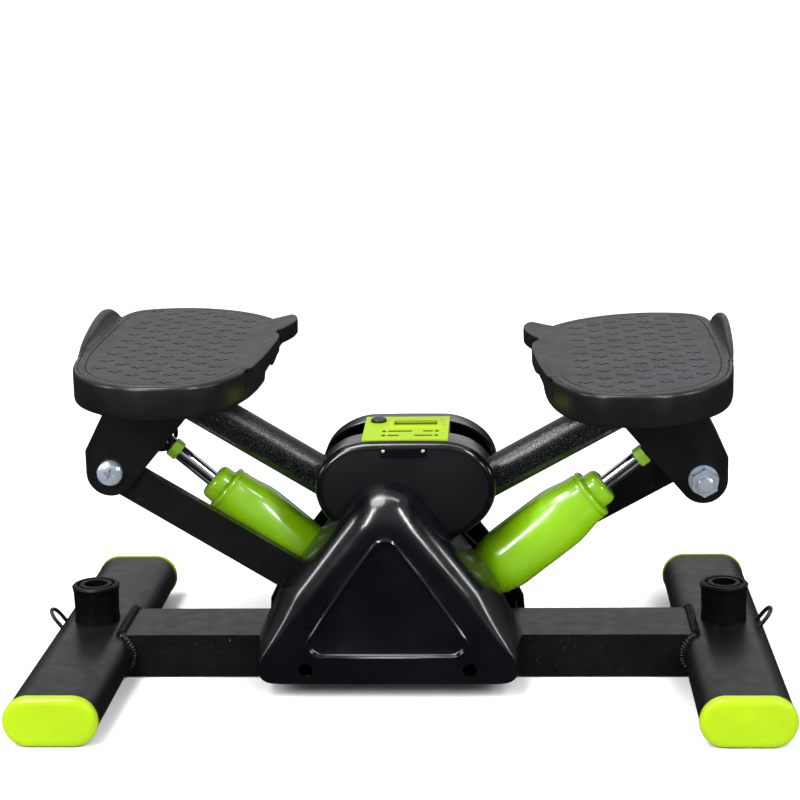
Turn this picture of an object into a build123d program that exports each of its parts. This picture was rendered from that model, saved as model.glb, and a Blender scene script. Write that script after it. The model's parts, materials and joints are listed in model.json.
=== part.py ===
from build123d import *
from math import atan2, cos, degrees, hypot, radians, sin, tan
import os

# Side stepper with two see-saw coupled pedals. Millimetres, +Z up, +X to the user's right, +Y away from the
# user. The origin is on the floor in the middle. A "side" is -1 for the left half and +1 for the right half.

# ---- foot frame ----
FOOT_SPACING = 512.0
FOOT_LENGTH = 354.0
FOOT_WIDTH = 70.0
FOOT_HEIGHT = 37.0
FOOT_WALL = 2.0
CAP_LIP = 0.8
CAP_PROUD = 8.0
CAP_EDGE = 5.5
CAP_PLUG = 22.0
FIT_GAP = 0.15
CROSS_DEPTH = 68.0
CROSS_HEIGHT = 35.0
CROSS_BOTTOM = 1.0
CROSS_WALL = 2.5
BUMPER_RADIUS = 19.5
BUMPER_HEIGHT = 31.2
BUMPER_BORE = 9.5
EYELET_WIRE = 1.6
EYELET_RADIUS = 8.5
EYELET_LEG = 9.0
EYELET_LEAN = 38.0

# ---- linkage, seen from the front; distances outward are measured from the middle ----
ARM_LENGTH = 203.8
ARM_ANGLE = 30.1
REST_TILT = 1.4
ARM_PIVOT_OUT = 20.0
ARM_PIVOT_HEIGHT = 130.5
LINK_SHIFT_OUT = 34.9
LINK_SHIFT_DOWN = 61.4
ARM_RADIUS = 15.5
ARM_WALL = 2.5
SLEEVE_RADIUS = 14.0
AXLE_RADIUS = 6.0
AXLE_HEAD = 5.0
AXLE_HEAD_RADIUS = AXLE_RADIUS + 4
LINK_AXLE_HEAD = 4.0
BUSH_WALL = 2.5
BUSH_LENGTH = 16.0
RUNNING = 0.05
FLANGE = 1.5
TAB_HEIGHT = 26.0
TAB_THICKNESS = 4.0
TIE_THICKNESS = 5.0
TIE_RADIUS = 6.5
TIE_PIN_RADIUS = 4.0
LINK_HEIGHT = 27.0
LINK_THICKNESS = 10.0
LINK_GAP = 1.0

# ---- tower ----
PLATE_THICKNESS = 4.0
TOWER_INSIDE = CROSS_DEPTH / 2 - PLATE_THICKNESS
TOWER_TOP = 150.0
TOWER_FOOT = 78.0
TOWER_HEAD = 32.0

# ---- pedal bracket ----
BRACKET_PLATE = 4.0
BRACKET_GAP = 1.0
NOSE_RADIUS = 19.0
BRACKET_SLOPE = 49.5
BRACKET_BEND_UP = 17.7
BRACKET_LEAN = 27.3
BRACKET_TOP = 258.0
LINK_MOUTH = 22.0
EAR_INSIDE = 10.0
EAR_THICKNESS = 4.0
EAR_RADIUS = 9.5
EAR_HOLE = 6.3
EAR_SHIFT_IN = 1.3
EAR_SHIFT_UP = 1.2
BOLT_HEAD_RADIUS = 10.0
BOLT_HEAD = 7.0
WASHER_RADIUS = 11.7
WASHER = 2.5
NUT_WIDTH = 19.0
NUT_HEIGHT = 11.0
BOLT_TAIL = 4.0

# ---- damper ----
DAMPER_FOOT_OUT = 40.0
DAMPER_FOOT_HEIGHT = 57.2
DAMPER_ANGLE = 39.5
DAMPER_LENGTH = 204.6
DAMPER_RADIUS = 25.5
DAMPER_TAIL_RADIUS = 21.5
SHOULDER_RADIUS = 21.0
NECK_RADIUS = 15.0
SHELL_WALL = 1.6
TAIL_START = 30.0
BODY_START = 50.0
FLARE_START = 102.0
SHOULDER_START = 136.0
NECK_START = 140.0
NECK_END = 153.0
CYLINDER_WALL = 2.0
ROD_RADIUS = 6.5
PISTON_START = 62.0
PISTON_HEIGHT = 9.0
COLLAR_START = 186.0
COLLAR_HEIGHT = 8.5
COLLAR_RADIUS = 8.2
ROD_TIP = 5.5
ROD_PIN_RADIUS = 4.0
ROD_PIN_HALF = 17.0
EYE_RADIUS = 13.0
EYE_HALF = 12.0

# ---- pedal ----
TRAY_BOTTOM = 239.0
TRAY_TOP = 263.0
TRAY_WALL = 3.0
TRAY_FLOOR = 5.0
TREAD_INSET = 10.0
TREAD_THICKNESS = 3.0
TREAD_SUNK = 2.0
FIN_HEIGHT = 15.0
FIN_THICKNESS = 6.0
ARM_NOTCH_HALF = 24.0
ARM_NOTCH_HEIGHT = 8.0
PEDAL_SCREW_RADIUS = 3.0
PEDAL_OUTLINE = [
    (167, -166), (205, -157), (238, -118), (252, -60), (256, 30), (255, 130), (243, 171), (205, 182),
    (165, 170), (130, 139), (112, 100), (107, 20), (108, -67), (118, -122), (138, -156),
]

# ---- covers ----
COVER_X = -12.0
COVER_WALL = 3.5
COVER_BOTTOM = 8.0
COVER_FRONT = 84.0
COVER_REAR = 76.0
COVER_RIM = 57.0
COVER_EDGE = 13.0
COVER_APEX_RADIUS = 36.0
COVER_CORNER_RADIUS = 18.0
COVER_HALF_OUTLINE = [(109, 8), (107, 38), (84, 86)]
COVER_APEX = 194.5
PANEL_DEPTH = 1.8
PANEL_HALF = 69.5
PANEL_BOTTOM = 35.5
PANEL_TOP = 134.0
SCREW_SPREAD = 64.0
SCREW_HEIGHT = 24.0
COVER_SCREW_RADIUS = 2.5
COVER_BOSS_RADIUS = 8.0
COVER_HOLE_RADIUS = 5.5
SCREW_SEAT = 6.0
HOOD_X = 3.0
HOOD_FRONT = 55.0
HOOD_REAR = 50.0
HOOD_EDGE = 5.0
HOOD_HALF_OUTLINE = [(42, 122), (64, 150), (70.5, 172), (65, 190)]
HOOD_SHOULDER = 47.0
HOOD_CORNER = 20.0
HOOD_FRONT_TOP = 199.0
HOOD_REAR_TOP = 200.0
HOOD_MOUTH = 38.0
ARM_SLOT = 19.0
DAMPER_GAP = 2.5
DAMPER_SLOT_TOP = 168.0

# ---- display ----
DISPLAY_WIDTH = 67.0
DISPLAY_FRONT = -48.0
DISPLAY_BACK = 12.5
DISPLAY_FRONT_HEIGHT = 200.0
DISPLAY_BACK_HEIGHT = 204.5
DISPLAY_THICKNESS = 11.0
DISPLAY_WALL = 2.0
WINDOW = (34.0, 12.0)
WINDOW_CENTRE = (7.0, 11.0)
WINDOW_SINK = 1.0
GLASS = 1.5
BUTTON_RADIUS = 6.2
BUTTON_CENTRE = (-23.0, 18.5)
BUTTON_GAP = 0.2
BUTTON_PROUD = 2.2
BUTTON_TRAVEL = 1.5
BUTTON_FLANGE = 1.5
BOARD_DEPTH = 46.0
BOARD_THICKNESS = 1.6
CELL_RADIUS = 10.0
CELL_HEIGHT = 3.2

# ---- worked-out places ----
FOOT_CENTRE = FOOT_HEIGHT / 2 + CAP_LIP
FOOT_TOP = FOOT_HEIGHT + CAP_LIP
CROSS_TOP = CROSS_BOTTOM + CROSS_HEIGHT
TOWER_OUTSIDE = TOWER_INSIDE + PLATE_THICKNESS
LINK_INSIDE = TOWER_OUTSIDE + LINK_GAP
LINK_OUTSIDE = LINK_INSIDE + LINK_THICKNESS
BRACKET_INSIDE = LINK_OUTSIDE + BRACKET_GAP
BRACKET_OUTSIDE = BRACKET_INSIDE + BRACKET_PLATE
BUSH_RADIUS = AXLE_RADIUS + RUNNING + BUSH_WALL
SIDES = (("left", -1), ("right", 1))


def polar(distance, angle):
    return distance * cos(radians(angle)), distance * sin(radians(angle))


class Side:
    """The pivots of one half in its rest pose, as (distance outward, height)."""

    def __init__(self, sign):
        self.sign = sign
        self.angle = ARM_ANGLE - sign * REST_TILT
        arm_out, arm_up = polar(ARM_LENGTH, self.angle)
        mean_out, mean_up = polar(ARM_LENGTH, ARM_ANGLE)
        self.arm_in = (ARM_PIVOT_OUT, ARM_PIVOT_HEIGHT)
        self.arm_out = (ARM_PIVOT_OUT + arm_out, ARM_PIVOT_HEIGHT + arm_up)
        self.link_in = (ARM_PIVOT_OUT + LINK_SHIFT_OUT, ARM_PIVOT_HEIGHT - LINK_SHIFT_DOWN)
        self.bolt = (self.link_in[0] + arm_out, self.link_in[1] + arm_up)
        self.shift = (arm_out - mean_out, arm_up - mean_up)
        self.damper_foot = (DAMPER_FOOT_OUT, DAMPER_FOOT_HEIGHT)
        pin_out, pin_up = polar(DAMPER_LENGTH, DAMPER_ANGLE)
        self.rod_pin = (DAMPER_FOOT_OUT + pin_out + self.shift[0], DAMPER_FOOT_HEIGHT + pin_up + self.shift[1])
        run = self.rod_pin[0] - DAMPER_FOOT_OUT
        rise = self.rod_pin[1] - DAMPER_FOOT_HEIGHT
        self.damper_angle = degrees(atan2(rise, run))
        self.damper_length = hypot(run, rise)
        self.reach = self.damper_length - DAMPER_LENGTH

    def flat(self, point):
        """Front-view coordinates (x, z) of an (outward, height) point."""
        return self.sign * point[0], point[1]

    def at(self, point, y=0.0):
        return Vector(self.sign * point[0], y, point[1])

    def along(self, angle):
        out, up = polar(1.0, angle)
        return Vector(self.sign * out, 0, up)


def finish(piece, name):
    piece.part.label = name
    export_step(piece.part, f"parts/{name}.step")


def front_plane(y):
    """Front-view sketch plane; an extrusion from it grows towards the user."""
    return Plane.XZ.offset(-y)


def turned(start, direction, outline):
    """A turned piece: outline lists (distance along the axis, radius)."""
    start = Vector(start)
    direction = Vector(direction).normalized()
    normal = (0, 0, 1) if abs(direction.Y) > 0.5 else (0, -1, 0)
    with BuildPart() as piece:
        with BuildSketch(Plane(origin=start, x_dir=direction, z_dir=normal)):
            with BuildLine():
                Polyline((outline[0][0], 0), *outline, (outline[-1][0], 0), close=True)
            make_face()
        revolve(axis=Axis(start, direction))
    return piece


def bored(start, direction, outline, bore):
    """A turned piece with a round bore right through it."""
    length = outline[-1][0] - outline[0][0]
    middle = Vector(start) + Vector(direction).normalized() * ((outline[0][0] + outline[-1][0]) / 2)
    solid = turned(start, direction, outline)
    with BuildPart() as piece:
        add(solid.part)
        with BuildSketch(Plane(origin=middle, z_dir=direction)):
            Circle(bore)
        extrude(amount=length, both=True, mode=Mode.SUBTRACT)
    return piece


def headed_axle(point, face):
    """An axle along Y with a flat head against a face at each end."""
    outline = [
        (-face - AXLE_HEAD, AXLE_HEAD_RADIUS), (-face, AXLE_HEAD_RADIUS), (-face, AXLE_RADIUS), (face, AXLE_RADIUS),
        (face, AXLE_HEAD_RADIUS), (face + AXLE_HEAD, AXLE_HEAD_RADIUS),
    ]
    return turned(point, (0, 1, 0), outline)


def group(name, pieces):
    """Several separate solids in one node."""
    whole = Compound(label=name, children=[solid for piece in pieces for solid in piece.part.solids()])
    export_step(whole, f"parts/{name}.step")


def cylinder_y(point, y_low, y_high, radius, mode=Mode.ADD):
    """Inside a part: a round bar or hole along Y at a front-view point."""
    with BuildSketch(front_plane(y_high)) as profile:
        with Locations(point):
            Circle(radius)
    extrude(profile.sketch, amount=y_high - y_low, mode=mode)


def slab_y(points, y_low, y_high, mode=Mode.ADD):
    """Inside a part: a flat plate with a front-view outline."""
    with BuildSketch(front_plane(y_high)) as profile:
        with BuildLine():
            Polyline(*points, close=True)
        make_face()
    extrude(profile.sketch, amount=y_high - y_low, mode=mode)


def foot_profile(x, y, wider=0.0):
    """Sketch of a foot tube's flat-oval section, seen from the front."""
    with BuildSketch(front_plane(y)) as profile:
        with Locations((x, FOOT_CENTRE)):
            SlotOverall(FOOT_WIDTH + 2 * wider, FOOT_HEIGHT + 2 * wider)
    return profile.sketch


# ---- foot frame ----
def make_foot(name, sign):
    x = sign * FOOT_SPACING / 2
    half = FOOT_LENGTH / 2
    with BuildPart() as tube:
        extrude(foot_profile(x, half), amount=FOOT_LENGTH)
        extrude(foot_profile(x, half, -FOOT_WALL), amount=FOOT_LENGTH, mode=Mode.SUBTRACT)
        with BuildSketch(Plane.XY.offset(FOOT_TOP - 2 * FOOT_WALL)):
            with Locations((x, 0)):
                Circle(4 + RUNNING)
        extrude(amount=3 * FOOT_WALL, mode=Mode.SUBTRACT)
    finish(tube, f"{name}_foot_tube")

    for end, direction in (("front", -1), ("rear", 1)):
        outer_y = direction * (half + CAP_PROUD)
        with BuildPart() as cap:
            extrude(foot_profile(x, max(outer_y, direction * half), CAP_LIP), amount=CAP_PROUD)
            fillet(cap.faces().sort_by(Axis.Y)[0 if direction < 0 else -1].edges(), CAP_EDGE)
            plug_y = max(direction * (half - CAP_PLUG), direction * half)
            extrude(foot_profile(x, plug_y, -FOOT_WALL - FIT_GAP), amount=CAP_PLUG)
            extrude(foot_profile(x, plug_y, -FOOT_WALL - FIT_GAP - 3), amount=CAP_PLUG, mode=Mode.SUBTRACT)
        finish(cap, f"{name}_{end}_cap")

    base = FOOT_TOP - FOOT_HEIGHT / 4
    top = FOOT_TOP + BUMPER_HEIGHT
    with BuildPart() as bumper:
        with BuildSketch(Plane.XZ):
            with BuildLine():
                Polyline(
                    (x, base), (x + BUMPER_RADIUS - 0.5, base), (x + BUMPER_RADIUS - 1.5, FOOT_TOP + 8),
                    (x + BUMPER_RADIUS - 1, top - 6), (x + BUMPER_RADIUS, top - 1.5),
                    (x + BUMPER_RADIUS - 1.5, top), (x, top), close=True,
                )
            make_face()
        revolve(axis=Axis((x, 0, 0), (0, 0, 1)))
        extrude(foot_profile(x, half), amount=FOOT_LENGTH, mode=Mode.SUBTRACT)
        with BuildSketch(Plane.XY.offset(FOOT_TOP + 10)):
            with Locations((x, 0)):
                Circle(BUMPER_BORE)
        extrude(amount=BUMPER_HEIGHT, mode=Mode.SUBTRACT)
        with BuildSketch(Plane.XY.offset(top - 2)):
            with Locations((x, 0)):
                Circle(BUMPER_RADIUS - 4)
                Circle(BUMPER_RADIUS - 6.5, mode=Mode.SUBTRACT)
        extrude(amount=4, mode=Mode.SUBTRACT)
        with BuildSketch(Plane.XY.offset(FOOT_TOP - 1)):
            with Locations((x, 0)):
                Circle(4 + RUNNING)
        extrude(amount=BUMPER_HEIGHT, mode=Mode.SUBTRACT)
    finish(bumper, f"{name}_bumper")

    lean_out, lean_up = sin(radians(EYELET_LEAN)), cos(radians(EYELET_LEAN))
    shoulder = FOOT_SPACING / 2 + FOOT_WIDTH / 2 - FOOT_HEIGHT / 2
    rim = FOOT_HEIGHT / 2 - EYELET_WIRE
    root = Vector(sign * (shoulder + rim * lean_out), 0, FOOT_CENTRE + rim * lean_up)
    loop_plane = Plane(origin=root, x_dir=(0, 1, 0), z_dir=(sign * lean_up, 0, -lean_out))
    rise = 1 if loop_plane.y_dir.Z > 0 else -1
    with BuildPart() as eyelet:
        with BuildLine(loop_plane) as wire:
            Line((-EYELET_RADIUS, 0), (-EYELET_RADIUS, rise * EYELET_LEG))
            ThreePointArc(
                (-EYELET_RADIUS, rise * EYELET_LEG), (0, rise * (EYELET_LEG + EYELET_RADIUS)),
                (EYELET_RADIUS, rise * EYELET_LEG),
            )
            Line((EYELET_RADIUS, rise * EYELET_LEG), (EYELET_RADIUS, 0))
        with BuildSketch(Plane(origin=wire.line @ 0, z_dir=wire.line % 0)):
            Circle(EYELET_WIRE)
        sweep(path=wire.line)
        extrude(foot_profile(x, half), amount=FOOT_LENGTH, mode=Mode.SUBTRACT)
    finish(eyelet, f"{name}_eyelet")


def bumper_screw(sign):
    seat = FOOT_TOP + 10
    outline = [(-18, 4), (0, 4), (0, 7), (2.5, 7), (4, 5)]
    return turned((sign * FOOT_SPACING / 2, 0, seat), (0, 0, 1), outline)


def make_cross_tube():
    with BuildPart() as tube:
        with BuildSketch(Plane.YZ.offset(-FOOT_SPACING / 2)):
            with Locations((0, CROSS_BOTTOM + CROSS_HEIGHT / 2)):
                Rectangle(CROSS_DEPTH, CROSS_HEIGHT)
                Rectangle(CROSS_DEPTH - 2 * CROSS_WALL, CROSS_HEIGHT - 2 * CROSS_WALL, mode=Mode.SUBTRACT)
        extrude(amount=FOOT_SPACING)
        for _, sign in SIDES:
            extrude(foot_profile(sign * FOOT_SPACING / 2, FOOT_LENGTH / 2), amount=FOOT_LENGTH, mode=Mode.SUBTRACT)
            point = (COVER_X + sign * SCREW_SPREAD, SCREW_HEIGHT)
            cylinder_y(point, -CROSS_DEPTH, CROSS_DEPTH, COVER_SCREW_RADIUS + RUNNING, Mode.SUBTRACT)
    finish(tube, "cross_tube")


# ---- tower ----
def make_tower(name, y_low, y_high, link_side):
    """One upright plate; link_side is the half whose lower link turns on this plate."""
    with BuildPart() as plate:
        neck = ARM_PIVOT_HEIGHT - 14
        slab_y(
            [
                (-TOWER_FOOT, CROSS_TOP), (TOWER_FOOT, CROSS_TOP), (TOWER_FOOT, CROSS_TOP + 34),
                (TOWER_HEAD, neck), (TOWER_HEAD, TOWER_TOP), (-TOWER_HEAD, TOWER_TOP), (-TOWER_HEAD, neck),
                (-TOWER_FOOT, CROSS_TOP + 34),
            ],
            y_low, y_high,
        )
        for _, sign in SIDES:
            side = Side(sign)
            cylinder_y(side.flat(side.arm_in), y_low, y_high, AXLE_RADIUS + RUNNING, Mode.SUBTRACT)
            cylinder_y(side.flat(side.damper_foot), y_low, y_high, AXLE_RADIUS + RUNNING, Mode.SUBTRACT)
        cylinder_y(link_side.flat(link_side.link_in), y_low, y_high, AXLE_RADIUS + RUNNING, Mode.SUBTRACT)
    finish(plate, name)


# ---- one half of the linkage ----
def make_arm(name, side):
    """Upper arm: tube with a sleeve at each pivot and a tab for the tie bar."""
    start = side.at(side.arm_in)
    aim = side.along(side.angle)
    inner_half = TOWER_INSIDE - 1 - FLANGE
    outer_half = BRACKET_INSIDE - 1 - FLANGE
    with BuildPart() as arm:
        with BuildSketch(Plane(origin=start, z_dir=aim)):
            Circle(ARM_RADIUS)
        extrude(amount=ARM_LENGTH)
        cylinder_y(side.flat(side.arm_in), -inner_half, inner_half, SLEEVE_RADIUS)
        cylinder_y(side.flat(side.arm_out), -outer_half, outer_half, SLEEVE_RADIUS)
        with BuildSketch(Plane(origin=start + aim * SLEEVE_RADIUS, z_dir=aim)):
            Circle(ARM_RADIUS - ARM_WALL)
        extrude(amount=ARM_LENGTH - 2 * SLEEVE_RADIUS, mode=Mode.SUBTRACT)
        for centre in (side.arm_in, side.arm_out):
            cylinder_y(side.flat(centre), -outer_half, outer_half, BUSH_RADIUS + FIT_GAP, Mode.SUBTRACT)
        top = (side.arm_in[0], side.arm_in[1] + TAB_HEIGHT)
        with BuildSketch(front_plane(-inner_half + TAB_THICKNESS)):
            with Locations(side.flat((side.arm_in[0], side.arm_in[1] + TAB_HEIGHT / 2))):
                SlotCenterToCenter(TAB_HEIGHT, 2 * TIE_RADIUS + 2, rotation=90)
        extrude(amount=TAB_THICKNESS)
        cylinder_y(side.flat(side.arm_in), -inner_half, inner_half, BUSH_RADIUS + FIT_GAP, Mode.SUBTRACT)
        cylinder_y(side.flat(top), -inner_half, inner_half, TIE_PIN_RADIUS + RUNNING, Mode.SUBTRACT)
    finish(arm, f"{name}_arm_tube")

    bushes = []
    for centre, half in ((side.arm_in, inner_half), (side.arm_out, outer_half)):
        for end in (-1, 1):
            outline = [
                (half - BUSH_LENGTH, BUSH_RADIUS), (half, BUSH_RADIUS), (half, BUSH_RADIUS + 3),
                (half + FLANGE, BUSH_RADIUS + 3),
            ]
            bushes.append(bored(side.at(centre), (0, end, 0), outline, AXLE_RADIUS + RUNNING))
    group(f"{name}_arm_bushes", bushes)

    finish(headed_axle(side.at(side.arm_out), BRACKET_OUTSIDE), f"{name}_pedal_axle")
    return headed_axle(side.at(side.arm_in), TOWER_OUTSIDE)


def make_link(name, side):
    """Lower link: a flat bar, in front of the damper on the left and behind it on the right."""
    low, high = sorted((side.sign * LINK_INSIDE, side.sign * LINK_OUTSIDE))
    middle = ((side.link_in[0] + side.bolt[0]) / 2, (side.link_in[1] + side.bolt[1]) / 2)
    with BuildPart() as link:
        with BuildSketch(front_plane(high)):
            with Locations(side.flat(middle)):
                SlotCenterToCenter(ARM_LENGTH, LINK_HEIGHT, rotation=side.sign * side.angle)
        extrude(amount=LINK_THICKNESS)
        for centre in (side.link_in, side.bolt):
            cylinder_y(side.flat(centre), low, high, BUSH_RADIUS + FIT_GAP, Mode.SUBTRACT)
    finish(link, f"{name}_lower_link")

    bushes = []
    for centre in (side.link_in, side.bolt):
        outline = [(low, BUSH_RADIUS), (high, BUSH_RADIUS)]
        bushes.append(bored(side.at(centre), (0, 1, 0), outline, AXLE_RADIUS + RUNNING))
    group(f"{name}_link_bushes", bushes)

    seat = LINK_OUTSIDE + 4 * RUNNING
    outline = [
        (TOWER_INSIDE, AXLE_RADIUS), (seat, AXLE_RADIUS), (seat, AXLE_HEAD_RADIUS),
        (LINK_OUTSIDE + LINK_AXLE_HEAD, AXLE_HEAD_RADIUS),
    ]
    return turned(side.at(side.link_in), (0, side.sign, 0), outline)


def bracket_outline(side):
    """Corners of the bracket's side plate, from the outer bend round to the tangent point on the nose."""
    bolt_out, bolt_up = side.bolt
    bend = (bolt_out + NOSE_RADIUS, bolt_up + BRACKET_BEND_UP)
    top = BRACKET_TOP + side.shift[1]
    outer_top = (bend[0] - (top - bend[1]) * tan(radians(BRACKET_LEAN)), top)
    slope_out, slope_up = polar(1.0, 180 - BRACKET_SLOPE)
    tangent = (bolt_out - NOSE_RADIUS * slope_up, bolt_up + NOSE_RADIUS * slope_out)
    climb = (top - tangent[1]) / slope_up
    inner_top = (tangent[0] + climb * slope_out, top)
    return [(bolt_out + NOSE_RADIUS, bolt_up), bend, outer_top, inner_top, tangent, side.bolt]


def make_bracket(name, side):
    """Pedal bracket: two side plates, an outer web that wraps under the nose, a top plate and damper ears."""
    corners = bracket_outline(side)
    _, bend, outer_top, inner_top, _, _ = corners
    nose = side.flat(side.bolt)
    with BuildPart() as bracket:
        with BuildSketch(front_plane(BRACKET_OUTSIDE)) as full:
            with BuildLine():
                Polyline(*[side.flat(point) for point in corners], close=True)
            make_face()
            with Locations(nose):
                Circle(NOSE_RADIUS)
        extrude(amount=2 * BRACKET_OUTSIDE)
        with BuildSketch(front_plane(BRACKET_INSIDE)):
            add(full.sketch)
            offset(amount=-BRACKET_PLATE, kind=Kind.ARC, mode=Mode.REPLACE)
        extrude(amount=2 * BRACKET_INSIDE, mode=Mode.SUBTRACT)
        bolt_out, bolt_up = side.bolt
        under = inner_top[1] - BRACKET_PLATE
        mouth = [
            (bolt_out - 2, bolt_up - 2 * NOSE_RADIUS), (bolt_out - 2, bolt_up), (inner_top[0] + 12, under),
            (inner_top[0] - 16, under), (inner_top[0] - 16, bolt_up - 2 * NOSE_RADIUS),
        ]
        slab_y([side.flat(point) for point in mouth], -BRACKET_INSIDE, BRACKET_INSIDE, Mode.SUBTRACT)
        low, high = sorted((side.sign * (LINK_INSIDE - LINK_GAP), side.sign * BRACKET_INSIDE))
        cylinder_y(nose, low, high, LINK_MOUTH, Mode.SUBTRACT)
        hole = (side.rod_pin[0] - EAR_SHIFT_IN, side.rod_pin[1] + EAR_SHIFT_UP)
        lean = tan(radians(BRACKET_LEAN))
        ear = [
            (hole[0] + 2, hole[1] - EAR_RADIUS + 0.2), (bend[0] - 3, bend[1] + 1),
            (bend[0] - 3 - 18 * lean, bend[1] + 19), (hole[0] - 1, hole[1] + EAR_RADIUS - 0.1),
        ]
        for low, high in ((-EAR_INSIDE - EAR_THICKNESS, -EAR_INSIDE), (EAR_INSIDE, EAR_INSIDE + EAR_THICKNESS)):
            slab_y([side.flat(point) for point in ear], low, high)
            cylinder_y(side.flat(hole), low, high, EAR_RADIUS)
            cylinder_y(side.flat(hole), low, high, EAR_HOLE, Mode.SUBTRACT)
        for centre in (side.bolt, side.arm_out):
            for low, high in ((-BRACKET_OUTSIDE, -BRACKET_INSIDE), (BRACKET_INSIDE, BRACKET_OUTSIDE)):
                cylinder_y(side.flat(centre), low, high, AXLE_RADIUS + RUNNING, Mode.SUBTRACT)
        with BuildSketch(Plane.XY.offset(outer_top[1] - 2 * BRACKET_PLATE)):
            with Locations(*pedal_screw_points(side)):
                Circle(PEDAL_SCREW_RADIUS + RUNNING)
        extrude(amount=3 * BRACKET_PLATE, mode=Mode.SUBTRACT)
    finish(bracket, f"{name}_pedal_bracket")

    face = BRACKET_OUTSIDE
    tail = face + NUT_HEIGHT + WASHER + BOLT_TAIL
    crown = face + BOLT_HEAD
    bolt_outline = [
        (-tail, AXLE_RADIUS - 1), (1 - tail, AXLE_RADIUS), (face, AXLE_RADIUS), (face, BOLT_HEAD_RADIUS),
        (crown - 2.5, BOLT_HEAD_RADIUS), (crown - 0.8, BOLT_HEAD_RADIUS - 2.2), (crown, BOLT_HEAD_RADIUS - 5),
    ]
    finish(turned(side.at(side.bolt), (0, side.sign, 0), bolt_outline), f"{name}_bracket_bolt")
    nut_way = Vector(0, -side.sign, 0)
    seat = side.at(side.bolt) + nut_way * face
    washer = bored(seat, nut_way, [(0, WASHER_RADIUS), (WASHER, WASHER_RADIUS)], AXLE_RADIUS + RUNNING)
    with BuildPart() as nut:
        with BuildSketch(Plane(origin=seat + nut_way * WASHER, z_dir=nut_way)):
            RegularPolygon(NUT_WIDTH / 2, 6, major_radius=False)
            Circle(AXLE_RADIUS + RUNNING, mode=Mode.SUBTRACT)
        extrude(amount=NUT_HEIGHT)
    spacer_outline = [(-BRACKET_INSIDE, 9), (LINK_INSIDE - 0.2, 9)]
    spacer = bored(side.at(side.bolt), (0, side.sign, 0), spacer_outline, AXLE_RADIUS + RUNNING)
    group(f"{name}_bracket_nut", [washer, nut, spacer])


def pedal_screw_points(side):
    _, _, outer_top, inner_top, _, _ = bracket_outline(side)
    return [(side.sign * out, y) for out in (outer_top[0] - 12, inner_top[0] + 16) for y in (-34, 34)]


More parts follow.
